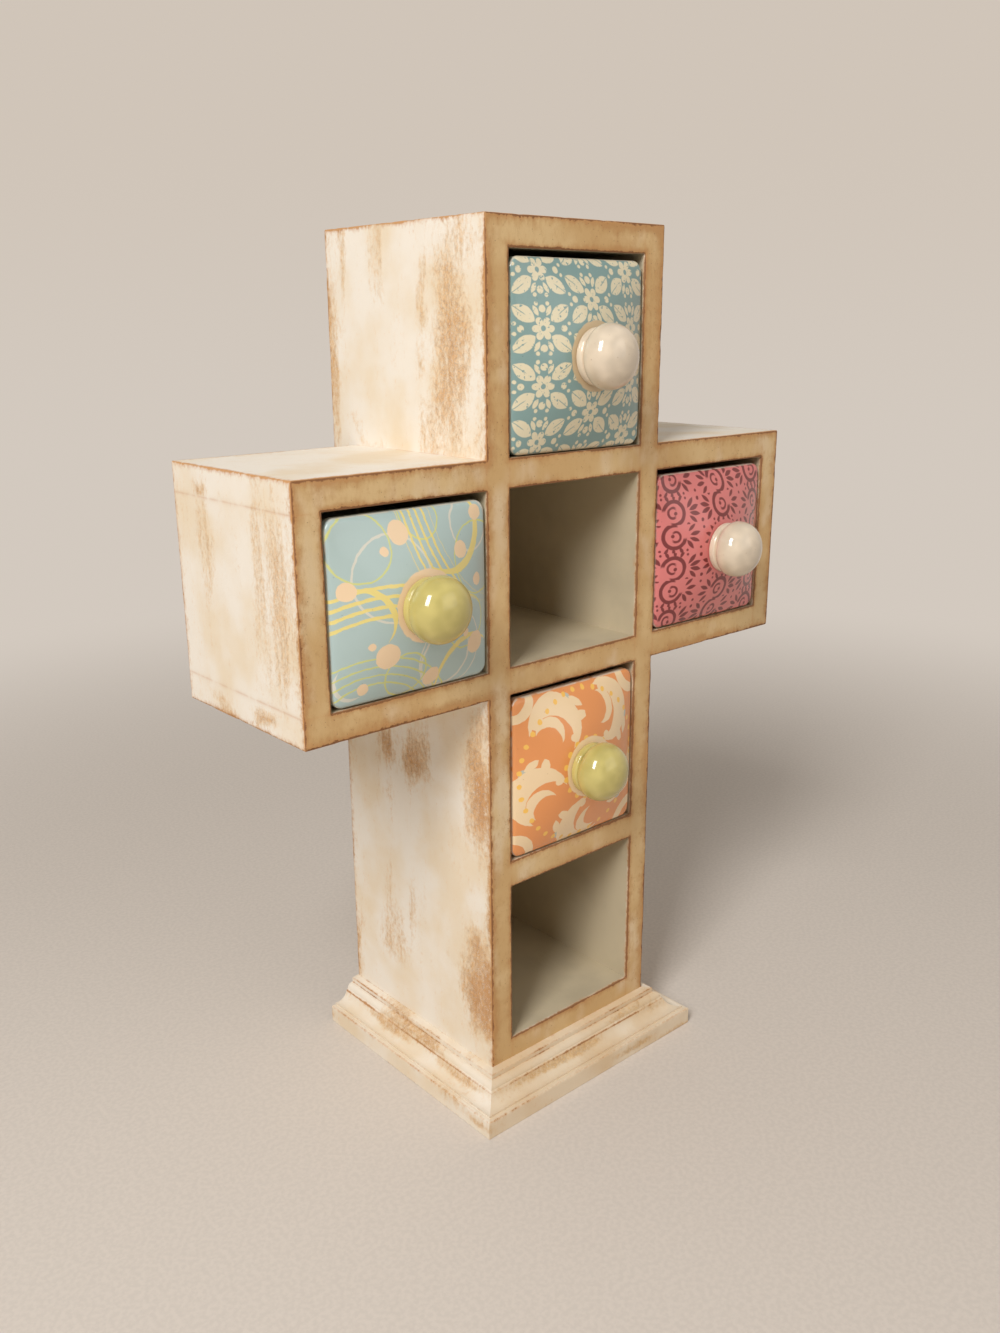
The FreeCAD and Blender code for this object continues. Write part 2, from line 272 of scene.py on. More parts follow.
def carcass_gaps(points):
    """Distances from the carcass's edge lines: outer front, cell front, outer back, outer corners, and the
    gap to the nearest cell opening."""
    x, y, z = points.T
    in_column = -box_gap(x, z, 0, TOP / 2, COLUMN_HALF, TOP / 2)
    in_arms = -box_gap(x, z, 0, (ARM_BOTTOM + ARM_TOP) / 2, SPAN, (ARM_TOP - ARM_BOTTOM) / 2)
    behind_arms = y > ARM_BACK + 2 * HAIR
    inset = np.clip(np.where(behind_arms, in_column, np.maximum(in_column, in_arms)), 0, None)
    cell = np.min([box_gap(x, z, cell_x, cell_z, CELL_HALF, half_z) for cell_x, cell_z, half_z in CELLS],
                  axis=0)
    back = np.where(np.abs(x) > COLUMN_HALF, ARM_BACK, COLUMN_BACK)
    outer_front = np.hypot(y - FRONT, inset)
    cell_front = np.hypot(y - FRONT, np.clip(cell, 0, None))
    outer_back = np.hypot(back - y, inset)
    corner = np.min([np.hypot(x - corner_x, z - corner_z) for corner_x, corner_z in OUTER_CORNERS], axis=0)
    return outer_front, cell_front, outer_back, corner, cell


def rubbed(points, normals):
    """Strength of the broad rubbed patches: an oval hump at each rubbed place, and faint upright bands where
    a stretched random field is high."""
    x, y, z = (points / MM).T
    y = y + RUB_WANDER[0] * (lumps(points, 11 * MM, 51) - 0.5)
    z = z + RUB_WANDER[1] * (lumps(points, 13 * MM, 52) - 0.5)
    strength = 0.45 * smooth(lumps(points, np.array([18, 9, 75]) * MM, 11), 0.66, 0.92)
    for place_x, place_y, place_z, half_y, half_z, amount in RUBBED_PLACES:
        away = np.hypot((y - place_y) / half_y, (z - place_z) / half_z)
        hump = amount * (1 - smooth(away, 0.15, 1.7)) * (np.abs(x - place_x) < 6)
        strength = np.maximum(strength, hump)
    return strength * smooth(np.abs(normals[:, 0]), 0.3, 0.8)


def new_piece(name, points, faces, finish, fields=None, sharp_angle=40.0):
    """Mesh object with its fields stored on the points, shaded smooth except across sharp turns."""
    mesh = bpy.data.meshes.new(name)
    mesh.from_pydata(points.tolist(), [], [list(face) for face in faces])
    for field, values in (fields or {}).items():
        mesh.attributes.new(field, "FLOAT", "POINT").data.foreach_set("value", values.astype(np.float32))
    mesh.shade_smooth()
    mesh.set_sharp_from_angle(angle=math.radians(sharp_angle))
    mesh.materials.append(finish)
    piece = bpy.data.objects.new(name, mesh)
    bpy.context.scene.collection.objects.link(piece)
    return piece


def ring_quads(rings, around):
    """Quads between neighbouring closed rings of points, ring after ring."""
    ring, step = np.meshgrid(np.arange(rings - 1), np.arange(around), indexing="ij")
    here = ring * around
    ahead = (step + 1) % around
    quads = [here + step, here + ahead, here + around + ahead, here + around + step]
    return np.stack(quads, axis=-1).reshape(-1, 4)


def middle_of(node, end):
    """Middle of a construction node as seen from the front, at its front end (0) or at its back end (1)."""
    low, high = corners(node)
    return ((low[0] + high[0]) / 2, (low, high)[end][1], (low[2] + high[2]) / 2)


def darkened(tint, factor):
    """A colour with every channel multiplied by the factor."""
    return tuple(factor * value for value in tint)


# Node materials

# Half the width of a mark's soft edge, in millimetres
MARK_SOFT = 0.12


class Finish:
    """One node material. Each method adds nodes and returns their output, and lengths are in millimetres."""

    def __init__(self, name, centre=(0.0, 0.0, 0.0)):
        self.material = bpy.data.materials.new(name)
        self.material.use_nodes = True
        self.tree = self.material.node_tree
        self.tree.nodes.clear()
        coordinates = self.tree.nodes.new("ShaderNodeTexCoord").outputs["Object"]
        moved = self.node("ShaderNodeVectorMath", coordinates, tuple(centre), operation="SUBTRACT").outputs[0]
        self.place = self.scaled(moved, 1 / MM)
        self.x, self.y, self.z = self.split(self.place)

    def node(self, kind, *values, **settings):
        made = self.tree.nodes.new(kind)
        for setting, value in settings.items():
            setattr(made, setting, value)
        for socket, value in zip(made.inputs, values):
            self.feed(socket, value)
        return made

    def feed(self, socket, value):
        if isinstance(value, bpy.types.NodeSocket):
            self.tree.links.new(value, socket)
        else:
            socket.default_value = (*value, 1.0) if socket.type == "RGBA" and len(value) == 3 else value

    def scaled(self, vector, factor):
        made = self.node("ShaderNodeVectorMath", vector, operation="SCALE")
        self.feed(made.inputs["Scale"], factor)
        return made.outputs[0]

    def split(self, vector):
        return self.node("ShaderNodeSeparateXYZ", vector).outputs[:3]

    def joined(self, x, y, z):
        return self.node("ShaderNodeCombineXYZ", x, y, z).outputs[0]

    def calc(self, operation, *values):
        return self.node("ShaderNodeMath", *values, operation=operation).outputs[0]

    def plus(self, *values):
        total = values[0]
        for value in values[1:]:
            total = self.calc("ADD", total, value)
        return total

    def minus(self, first, second):
        return self.calc("SUBTRACT", first, second)

    def times(self, *values):
        total = values[0]
        for value in values[1:]:
            total = self.calc("MULTIPLY", total, value)
        return total

    def swing(self, noise, amount):
        """Noise moved to lie around zero and scaled by the amount."""
        return self.times(self.minus(noise, 0.5), amount)

    def either(self, *masks):
        total = masks[0]
        for mask in masks[1:]:
            total = self.calc("MAXIMUM", total, mask)
        return total

    def without(self, mask, cut):
        return self.times(mask, self.minus(1.0, cut))

    def ease(self, value, low, high):
        """One above high and zero below low, with an S-shaped rise; low above high turns it round."""
        made = self.node("ShaderNodeMapRange", value, low, high, interpolation_type="SMOOTHSTEP")
        return made.outputs[0]

    def field(self, name):
        made = self.tree.nodes.new("ShaderNodeAttribute")
        made.attribute_name = name
        return made.outputs["Fac"]

    def noise(self, size, detail=2.0, rough=0.5, twist=0.0, stretch=(1, 1, 1), seed=0.0):
        """Cloudy field around 0.5 with features of the given size, stretched along the axes."""
        if stretch == (1, 1, 1) and not seed:
            vector = self.place
        else:
            made = self.node("ShaderNodeMapping", self.place)
            made.inputs["Location"].default_value = (seed, seed * 1.7, -seed)
            made.inputs["Scale"].default_value = tuple(1 / factor for factor in stretch)
            vector = made.outputs[0]
        made = self.node("ShaderNodeTexNoise", vector)
        made.inputs["Scale"].default_value = 1 / size
        made.inputs["Detail"].default_value = detail
        made.inputs["Roughness"].default_value = rough
        made.inputs["Distortion"].default_value = twist
        return made.outputs["Fac"]

    def cells(self, size):
        """Distance within a scatter of cells of the given size, as a share of that size."""
        made = self.node("ShaderNodeTexVoronoi", self.place)
        made.inputs["Scale"].default_value = 1 / size
        return made.outputs["Distance"]

    def mix(self, amount, first, second):
        """First colour turning into the second as the amount goes from 0 to 1."""
        made = self.node("ShaderNodeMix", amount, data_type="RGBA")
        colour_inputs, colour_output = (6, 7), 2  # a mix node has sockets for numbers and vectors before them
        for socket, tint in zip(colour_inputs, (first, second)):
            self.feed(made.inputs[socket], tint)
        return made.outputs[colour_output]

    def over(self, below, tint, *masks):
        """Colour laid over the one below, as thickly as the product of its masks."""
        return self.mix(self.times(*masks), below, tint)

    def surface(self, tint, roughness, height, relief, **constants):
        """Ends the material: a Principled surface with its colour, roughness, relief in millimetres and
        constants set straight on the shader."""
        shader = self.node("ShaderNodeBsdfPrincipled")
        self.feed(shader.inputs["Base Color"], tint)
        self.feed(shader.inputs["Roughness"], roughness)
        for socket, value in constants.items():
            shader.inputs[socket.replace("_", " ")].default_value = value
        bump = self.tree.nodes.new("ShaderNodeBump")
        bump.inputs["Distance"].default_value = relief * MM
        self.feed(bump.inputs["Height"], height)
        self.feed(shader.inputs["Normal"], bump.outputs[0])
        self.node("ShaderNodeOutputMaterial", shader.outputs[0])
        return self.material

    # Marks of a painted pattern: masks that are one inside a figure, from the two face coordinates

    def reach(self, u, v, middle_u=0.0, middle_v=0.0):
        """Distance from a point."""
        made = self.node("ShaderNodeVectorMath", self.joined(u, v, 0.0), (middle_u, middle_v, 0.0),
                         operation="DISTANCE")
        return made.outputs["Value"]

    def disc(self, u, v, middle_u, middle_v, radius, soft=MARK_SOFT):
        return self.ease(self.reach(u, v, middle_u, middle_v), radius + soft, radius - soft)

    def stroke(self, value, width):
        """Line where a value in millimetres passes through zero."""
        return self.ease(self.calc("ABSOLUTE", value), width / 2 + MARK_SOFT, width / 2 - MARK_SOFT)

    def ring(self, u, v, middle_u, middle_v, radius, width):
        return self.stroke(self.minus(self.reach(u, v, middle_u, middle_v), radius), width)

    def crescent(self, u, v, middle, radius, cut_middle, cut_radius):
        """Disc with another disc cut out of it."""
        whole = self.disc(u, v, *middle, radius)
        return self.without(whole, self.disc(u, v, *cut_middle, cut_radius))

    def leaf(self, u, v, middle, length, width, angle):
        """Almond: the overlap of two equal discs, its long axis turned by angle degrees."""
        turn = math.radians(angle)
        du = self.minus(u, middle[0])
        dv = self.minus(v, middle[1])
        along = self.plus(self.times(du, math.cos(turn)), self.times(dv, math.sin(turn)))
        across = self.minus(self.times(dv, math.cos(turn)), self.times(du, math.sin(turn)))
        half_length, half_width = length / 2, width / 2
        radius = (half_length ** 2 + half_width ** 2) / (2 * half_width)
        away = self.reach(along, self.calc("ABSOLUTE", across), 0.0, half_width - radius)
        return self.ease(away, radius + MARK_SOFT, radius - MARK_SOFT)


# Settings

FOCAL_PIXELS = 1160
LONG_SIDE_PIXELS = 1333


def number(name, description, default, **kind):
    return FloatProperty(name=name, description=description, default=default, **kind)


def length(name, description, default):
    return number(name, description, default, unit="LENGTH", precision=5)


def turn_by(name, description, degrees):
    return number(name, description, math.radians(degrees), unit="ROTATION")


def colour(name, description, default):
    return FloatVectorProperty(name=name, description=description, default=default, subtype="COLOR",
                               min=0, max=1)


class CarcassSettings(PropertyGroup):
    worn_edge: length("Worn edge", "Typical rounding of an exposed edge", 0.65 * MM)
    seam_reach: length("Seam reach", "How far the dirt in a seam spreads", 0.55 * MM)
    cell_edge: number("Cell edge", "Rounding of a cell's edge as a share of a worn edge", 0.55)
    spacing: length("Spacing", "Distance between lattice lines on a flat face", 2.4 * MM)
    unevenness: length("Unevenness", "Depth of the slow waves in a board's faces", 0.06 * MM)
    nicks: length("Nicks", "Depth of the knocks in exposed edges", 0.22 * MM)
    panel_play: length("Panel play", "Gap between a back panel and its rebate", 0.4 * MM)
    cream: colour("Cream", "Paint on the sides, the top and the back", (0.87, 0.80, 0.695))
    old_cream: colour("Old cream", "Yellower blotches of the same paint", (0.82, 0.69, 0.51))
    # The three ochres of the front faces are partly a yellower paint and partly painted shade: they stand in for the
    # shade the front faces sit in, so the fronts are darker and browner than the cream sides
    pale_ochre: colour("Pale ochre", "Middles of the front edges", (0.70, 0.495, 0.245))
    ochre: colour("Ochre", "Paint of the front edges", (0.62, 0.40, 0.175))
    dark_ochre: colour("Dark ochre", "Rubbed borders of the front edges", (0.50, 0.26, 0.09))
    sage: colour("Sage", "Paint inside the cells", (0.58, 0.49, 0.335))
    tan: colour("Tan", "Where the paint is rubbed thin", (0.79, 0.54, 0.29))
    brown: colour("Brown", "Where it is rubbed through", (0.57, 0.275, 0.095))
    # Dark brown is partly a staining and partly painted shadow along the cell openings
    dark_brown: colour("Dark brown", "Stain along the front edges", (0.22, 0.085, 0.025))


class PlinthSettings(PropertyGroup):
    fillet_reach: length("Fillet reach", "How far the top fillet stands out", 3.8 * MM)
    fillet_slope: length("Fillet slope", "Fall of the top fillet's upper face", 0.5 * MM)
    fillet_drop: length("Fillet drop", "Height of the top fillet's edge", 2.3 * MM)
    ovolo_reach: length("Ovolo reach", "Width of the quarter round", 3.1 * MM)
    ovolo_drop: length("Ovolo drop", "Height of the quarter round", 2.7 * MM)
    quirk: length("Quirk", "Step between two mouldings", 0.8 * MM)
    foot_height: length("Foot height", "Height of the square foot", 8.5 * MM)
    foot_ledge: length("Foot ledge", "Flat of the foot in front of the cove", 2.4 * MM)
    foot_ease: length("Foot easing", "Rounding of the foot's edge", 0.8 * MM)
    cove_hollow: length("Cove hollow", "Depth of the cove under its chord", 1.7 * MM)
    spacing: length("Spacing", "Distance between sections along a run", 2.0 * MM)
    edge_round: length("Edge rounding", "Rounding of the small arrises", 0.35 * MM)
    line_reach: length("Line reach", "How far the dirt along an arris spreads", 0.75 * MM)
    dents: length("Dents", "Depth of the dents along worn arrises", 0.2 * MM)


class DrawerSettings(PropertyGroup):
    front_wall: length("Front wall", "Thickness of the front", 6.0 * MM)
    wall: length("Wall", "Thickness of the sides and back", 4.5 * MM)
    floor: length("Floor", "Thickness of the floor", 5.0 * MM)
    corner_radius: length("Corner radius", "Rounding of the front's outline", 5.0 * MM)
    front_edge: length("Front edge", "Rounding of the front's rim", 1.8 * MM)
    swell: length("Swell", "How far the front swells at its middle", 10.4 * MM)
    seat_rise: length("Seat rise", "Flat on the swell that the knob sits on", 9.3 * MM)
    back_edge: length("Back edge", "Rounding of the back's rim", 2.0 * MM)
    inner_radius: length("Inner radius", "Rounding inside the hollow", 3.5 * MM)
    rim_drop: length("Rim drop", "How far the side walls stop below the front", 9.0 * MM)
    soft_rim: length("Soft rim", "Softening of the rims under the glaze", 2.6 * MM)
    wobble: length("Wobble", "Depth of the hand-made unevenness", 0.18 * MM)
    spacing: length("Spacing", "Distance between lattice lines on a flat wall", 1.9 * MM)
    teal: colour("Teal", "Ground of the upper drawer", (0.215, 0.335, 0.32))
    teal_print: colour("Cream on teal", "Print of the upper drawer", (0.74, 0.66, 0.46))
    blue: colour("Pale blue", "Ground of the left drawer", (0.43, 0.545, 0.525))
    yellow: colour("Yellow", "Print of the left drawer", (0.85, 0.68, 0.20))
    lime: colour("Lime", "Second print of the left drawer", (0.66, 0.66, 0.20))
    peach: colour("Peach", "Dots of the left drawer", (0.85, 0.63, 0.40))
    coral: colour("Coral", "Ground of the right drawer", (0.70, 0.20, 0.19))
    maroon: colour("Maroon", "Print of the right drawer", (0.15, 0.012, 0.014))
    orange: colour("Orange", "Ground of the lower drawer", (0.80, 0.31, 0.10))
    orange_print: colour("Cream on orange", "Print of the lower drawer", (0.88, 0.66, 0.40))
    bead: colour("Bead", "Beads of the lower drawer", (0.93, 0.54, 0.11))
    grey_blue: colour("Grey blue", "Accents of the lower drawer", (0.52, 0.52, 0.43))
    bare_patch: colour("Bare patch", "Unprinted patch round the upper drawer's knob", (0.60, 0.46, 0.28))
    liner: colour("Liner glaze", "Off-white glaze inside the drawers", (0.74, 0.68, 0.56))
    clay: colour("Clay", "Bare stoneware of the foot and edges", (0.62, 0.50, 0.36))


class KnobSettings(PropertyGroup):
    head_radius: length("Head radius", "Widest radius of the domed head", 13.0 * MM)
    head_start: length("Head start", "Where the head begins, from the knob's seat", 4.4 * MM)
    head_widest: length("Head's widest", "Where the head is widest", 7.6 * MM)
    squareness: number("Squareness", "Power of the dome's outline; 2 is an ellipse", 2.2)
    groove_radius: length("Groove radius", "Radius between collar and head", 10.5 * MM)
    collar_radius: length("Collar radius", "Radius of the collar", 11.5 * MM)
    collar_length: length("Collar length", "From the knob's seat to the groove", 3.6 * MM)
    collar_round: length("Collar rounding", "Rounding of the collar's edges", 1.2 * MM)
    unevenness: number("Unevenness", "How far a head is out of round, as a share of its radius", 0.006)
    around: IntProperty(name="Around", description="Points around the knob", default=96)
    cream: colour("Cream", "Glaze of the upper and right knobs", (0.74, 0.62, 0.47))
    lime: colour("Lime", "Glaze of the left and lower knobs", (0.57, 0.48, 0.15))


class StageSettings(PropertyGroup):
    eye: FloatVectorProperty(name="Eye", description="Where the camera stands", unit="LENGTH",
                             default=(-0.3451, FRONT - 0.3429, 0.3420))
    heading: turn_by("Heading", "Turn to the right of straight ahead", 41.29)
    dip: turn_by("Dip", "Tilt below level", 16.39)
    roll: turn_by("Roll", "Turn about the line of sight", -0.41)
    focal_share: number("Focal share", "Focal length over the picture's long side",
                        FOCAL_PIXELS / LONG_SIDE_PIXELS)
    floor: colour("Floor", "Pale floor", (0.70, 0.63, 0.56))
    backdrop: colour("Backdrop", "What lies behind the floor", (0.68, 0.60, 0.52))
    key_power: number("Key power", "Lamp on the left, in watts", 23.5, unit="POWER")
    fill_power: number("Fill power", "Lamp in front, in watts", 3.0, unit="POWER")
    ambient: number("Ambient", "Strength of the light from all round", 0.39)


class OrganizerSettings(PropertyGroup):
    carcass: PointerProperty(type=CarcassSettings)
    plinth: PointerProperty(type=PlinthSettings)
    drawers: PointerProperty(type=DrawerSettings)
    knobs: PointerProperty(type=KnobSettings)
    stage: PointerProperty(type=StageSettings)


# Painted boards

def rubbed_paint(settings):
    """Cream paint rubbed back to brown. Fields: front and inside choose the paint, the front faces' ochre being
    partly a yellower paint and partly painted shade, rub is the broad wear, edge the wear along exposed edges,
    dark where that wear turns dark brown, partly a darker staining and partly painted shadow along the cell
    openings, halo its wider border, and seam the dirt where two boards meet. Thin curls of paint are left in
    the rubbed patches."""
    make = Finish("rubbed_paint")
    front, inside = make.field("front"), make.field("inside")
    rub, edge, halo = make.field("rub"), make.field("edge"), make.field("halo")
    streaks = make.noise(5.0, detail=4, rough=0.6, stretch=(1, 1, 9))
    blotches = make.noise(30.0, detail=3)
    mottle = make.noise(7.0, detail=3, seed=3.0)
    grain = make.noise(0.9, detail=3, rough=0.65)
    ragged = make.noise(1.7, detail=5, rough=0.75, seed=7.0, stretch=(1, 1, 1.7))
    curl_field = make.noise(2.2, detail=1.5, twist=1.6, seed=12.0)
    curls = make.ease(make.calc("ABSOLUTE", make.minus(curl_field, 0.5)), 0.035, 0.008)

    side = make.mix(make.ease(blotches, 0.38, 0.70), settings.cream, settings.old_cream)
    wear = make.plus(rub, make.swing(streaks, 0.9), make.swing(ragged, 1.5))
    thin = make.ease(wear, 0.08, 0.75)
    through = make.ease(wear, 0.42, 1.15)
    specks = make.times(make.ease(ragged, 0.60, 0.74), make.ease(make.plus(streaks, blotches), 0.85, 1.2))
    side = make.over(side, settings.tan, specks, 0.45)
    side = make.over(side, settings.tan, thin, 0.8)
    side = make.over(side, settings.brown, through, 0.9)
    side = make.over(side, settings.cream, curls, thin, 0.45)

    # Front faces in ochre: partly a yellower paint, partly painted shade
    face = make.mix(make.ease(blotches, 0.35, 0.62), settings.pale_ochre, settings.ochre)
    border = make.plus(halo, make.swing(mottle, 0.8), make.swing(ragged, 0.7))
    pale = make.noise(19.0, detail=3, seed=17.0, stretch=(1, 1, 2))
    tattered = make.ease(ragged, 0.55, 0.75)
    face = make.over(face, settings.old_cream, make.ease(pale, 0.50, 0.72), 0.45)
    face = make.over(face, settings.dark_ochre, make.ease(border, 0.20, 0.85), 0.85)
    grime = make.ease(make.plus(mottle, make.times(halo, 0.35)), 0.50, 0.70)
    face = make.over(face, settings.dark_brown, make.ease(make.cells(1.9), 0.15, 0.06), grime, 0.75)
    face = make.over(face, settings.dark_ochre, tattered, 0.3)

    hollow = make.mix(make.ease(blotches, 0.40, 0.70), settings.sage, darkened(settings.sage, 0.86))
    hollow = make.over(hollow, settings.ochre, tattered, 0.2)
    paint = make.mix(front, side, face)
    paint = make.mix(inside, paint, hollow)
    line = make.plus(edge, make.swing(ragged, 1.1), make.swing(mottle, 0.6))
    # Dark brown on the front faces and along the cell openings: partly staining, partly painted shadow in the openings
    stain_and_shadow = make.mix(make.either(front, make.field("dark")), settings.brown, settings.dark_brown)
    paint = make.over(paint, settings.brown, make.ease(line, 0.25, 0.75), 0.6)
    paint = make.over(paint, stain_and_shadow, make.ease(line, 0.60, 0.76), 0.9)
    paint = make.over(paint, settings.brown, make.field("seam"), make.ease(mottle, 0.25, 0.60), 0.45)

    roughness = make.plus(0.46, make.times(thin, 0.16), make.times(grain, 0.14))
    height = make.plus(make.times(streaks, 0.5), make.times(grain, 0.35), make.times(curls, thin, 0.6),
                       make.times(make.ease(line, 0.55, 0.9), -0.7))
    return make.surface(paint, roughness, height, relief=0.22)


def board_fields(points, normals):
    """Paint fields of a carcass board: which paint, and how worn, from the distances to the edge lines. The
    front faces' ochre and the dark line along the cell openings are partly painted shade.
    """
    outer_front, cell_front, outer_back, corner, cell = carcass_gaps(points)
    front = smooth(-normals[:, 1], 0.45, 0.85)
    behind_arm = (np.abs(points[:, 0]) > COLUMN_HALF - 0.5 * MM) & (points[:, 1] > ARM_BACK)
    inside = (cell < 0.2 * MM) * smooth(points[:, 1] - FRONT, 0.3 * MM, 1.5 * MM) * (1 - front) * ~behind_arm
    edge = np.max([np.exp(-outer_front / (2.0 * MM)), 1.15 * np.exp(-cell_front / (1.3 * MM)),
                   0.85 * np.exp(-outer_back / (2.4 * MM)), 0.92 * np.exp(-corner / (2.0 * MM))], axis=0)
    edge *= 0.75 + 0.5 * lumps(points, 16 * MM, 21)
    halo = np.maximum(np.exp(-outer_front / (4.5 * MM)), 0.85 * np.exp(-cell_front / (3.2 * MM)))
    halo *= 0.5 + lumps(points, 24 * MM, 22)
    near_edge = 0.5 * np.exp(-np.minimum(outer_front, outer_back) / (7 * MM)) * lumps(points, 30 * MM, 5)
    rub = np.maximum(rubbed(points, normals), near_edge)
    # dark: where the worn line turns dark brown along the cell openings, partly staining and partly painted shadow
    return {"front": front, "inside": inside, "edge": edge, "halo": halo, "rub": rub,
            "dark": np.exp(-cell_front / (1.5 * MM))}


def touching(node, points):
    """For each point and each of a board's three low and three high faces, whether another board lies against
    that face there: the point is put just across the face, a hair in from the face's edges, and is tested
    against the other boards' boxes."""
    low, high = corners(node)
    boxes = [corners(other) for other in BOARDS + PLINTH if other != node]
    inner = np.clip(points, low + HAIR, high - HAIR)
    results = []
    for bound, way in ((low, -1), (high, 1)):
        met = np.zeros((len(points), 3), bool)
        for axis in range(3):
            across = inner.copy()
            across[:, axis] = bound[axis] + way * HAIR
            for other_low, other_high in boxes:
                met[:, axis] |= np.all((across > other_low) & (across < other_high), axis=1)
        results.append(met)
    return results


def rebate_of(node, settings):
    """Space behind the boards that a back panel is let into, as its lowest and highest corner."""
    arm = next((name for name in ARMS if node.startswith(name)), "column")
    low, high = corners(f"{arm}_back_panel")
    play = settings.panel_play * np.array([1, 0, 1])
    return low - play, high + play + np.array([0, MM, 0])


def worn_board(node, settings, paint):
    """One board: the skin of a lattice, with each corner drawn onto a block whose free edges are rounded by
    a radius that changes along them. A point's new place is the nearest point of the block shrunk by the
    radius, plus the radius along the line from there to the point. The block isn't shrunk from a face that
    another board touches, so seams stay tight."""
    low, high = corners(node)
    rebate_low, rebate_high = rebate_of(node, settings)
    largest = 1.6 * settings.worn_edge
    steps = largest * np.array([0, 0.2, 0.45, 0.75, 1.1, 1.8, 3.0])
    seam_step, unmoved = 0.2 * MM, 1e-9
    borders = np.array([corners(other) for other in BOARDS + PLINTH]).reshape(-1, 3)
    borders = np.concatenate([borders - seam_step, borders, borders + seam_step])
    lines = [graded(low[axis], high[axis], steps, settings.spacing,
                    (rebate_low[axis], rebate_high[axis], *borders[:, axis])) for axis in range(3)]
    middles = np.stack(cell_middles(lines), axis=-1)
    filled = ~np.all((middles > rebate_low) & (middles < rebate_high), axis=-1)
    used, quads = block_skin(filled)
    points = np.stack([lines[axis][used[:, axis]] for axis in range(3)], axis=1)

    outer_front, cell_front, outer_back, corner, _ = carcass_gaps(points)
    outer = np.min([outer_front, outer_back, corner], axis=0)
    radius = settings.worn_edge * (0.75 + 0.5 * lumps(points, 8 * MM, 2))
    radius *= np.where(cell_front < outer, settings.cell_edge, 1)
    met_low, met_high = touching(node, points)
    core = np.clip(points, low + radius[:, None] * ~met_low, high - radius[:, None] * ~met_high)
    away = points - core
    distance = np.linalg.norm(away, axis=1, keepdims=True)
    normals = np.divide(away, distance, out=np.zeros_like(away), where=distance > unmoved)
    shaped = np.where(distance > unmoved, core + normals * np.minimum(distance, radius[:, None]), points)

    bare = 1 - smooth(np.minimum(outer, cell_front + 0.8 * MM), 1.0 * MM, 3.0 * MM)
    knocks = settings.nicks * bare * smooth(lumps(points, 4.5 * MM, 8), 0.66, 0.92)
    sunk = knocks + settings.unevenness * lumps(points, 28 * MM, 4)
    shaped = shaped - normals * sunk[:, None]
    from_seam = np.min([np.where(met_low, points - low, 1), np.where(met_high, high - points, 1)],
                       axis=(0, 2))
    fields = board_fields(points, normals)
    fields["seam"] = np.exp(-from_seam / settings.seam_reach) * (1 - fields["inside"])
    return new_piece(f"{node}_board", shaped, quads, paint, fields)


class TEAORGANIZER_OT_carcass(Operator):
    """Column and arm boards in rubbed paint, with worn edges and tight seams"""
    bl_idname = "tea_organizer.carcass"
    bl_label = "Carcass Boards"

    def execute(self, context):
        settings = context.scene.tea_organizer.carcass
        paint = rubbed_paint(settings)
        for node in BOARDS:
            board = worn_board(node, settings, paint)
            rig.ride(board, "carcass")
            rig.replaces(board, node)
            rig.slot(board, "distressed_paint")
        return {"FINISHED"}


# Back panels and their pins

def panel_paint(settings):
    """Thin board: sage inside, brushed cream behind, darker and rubbed towards its borders."""
    make = Finish("panel_paint")
    strokes = make.noise(6.0, detail=4, rough=0.6, stretch=(12, 1, 1))
    blotches = make.noise(26.0, detail=3, seed=5.0)
    grain = make.noise(0.8, detail=3)
    behind = make.mix(make.ease(blotches, 0.40, 0.65), settings.cream, settings.old_cream)
    behind = make.over(behind, settings.tan, make.ease(strokes, 0.52, 0.75), 0.6)
    scuffs = make.ease(make.plus(strokes, make.times(grain, 0.3)), 0.80, 0.95)
    behind = make.over(behind, settings.brown, scuffs, 0.7)
    hollow = make.mix(make.ease(blotches, 0.40, 0.70), settings.sage, darkened(settings.sage, 0.8))
    column_y, arm_y = (float(np.mean(corners(f"{part}_back_panel"), axis=0)[1]) / MM
                       for part in ("column", "arm_left"))
    in_arm = make.ease(make.calc("ABSOLUTE", make.x), COLUMN_HALF / MM - 0.5, COLUMN_HALF / MM)
    depth = make.minus(make.y, make.plus(column_y, make.times(in_arm, arm_y - column_y)))
    paint = make.mix(make.ease(depth, -0.3, 0.3), hollow, behind)
    height = make.plus(make.times(strokes, 0.6), make.times(grain, 0.3))
    return make.surface(paint, make.plus(0.55, make.times(grain, 0.15)), height, relief=0.15)


def pin_steel():
    """Bright drawn steel, dulled by paint dust, with rust freckles."""
    make = Finish("pin_steel")
    dust = make.noise(0.7, detail=3)
    steel, rust = (0.42, 0.40, 0.37), (0.30, 0.20, 0.13)
    tint = make.mix(make.ease(dust, 0.45, 0.62), steel, rust)
    return make.surface(tint, make.plus(0.32, make.times(dust, 0.3)), dust, relief=0.05, Metallic=0.9)


class TEAORGANIZER_OT_backs(Operator):
    """Paint on the thin back panels, and steel on the pins that hold them"""
    bl_idname = "tea_organizer.backs"
    bl_label = "Back Panels"

    def execute(self, context):
        settings = context.scene.tea_organizer.carcass
        paint, steel = panel_paint(settings), pin_steel()
        for part in ("column", *ARMS):
            dress_node(f"{part}_back_panel", paint, "back_panel_paint")
            dress_node(f"{part}_back_pins", steel, "panel_pin_steel")
        return {"FINISHED"}


def dress_node(node, finish, slot):
    """Gives a construction node, kept as it is, its finish and slot."""
    kept = frame["nodes"][node]
    kept.data.materials.clear()
    kept.data.materials.append(finish)
    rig.slot(kept, slot)


# Plinth moulding

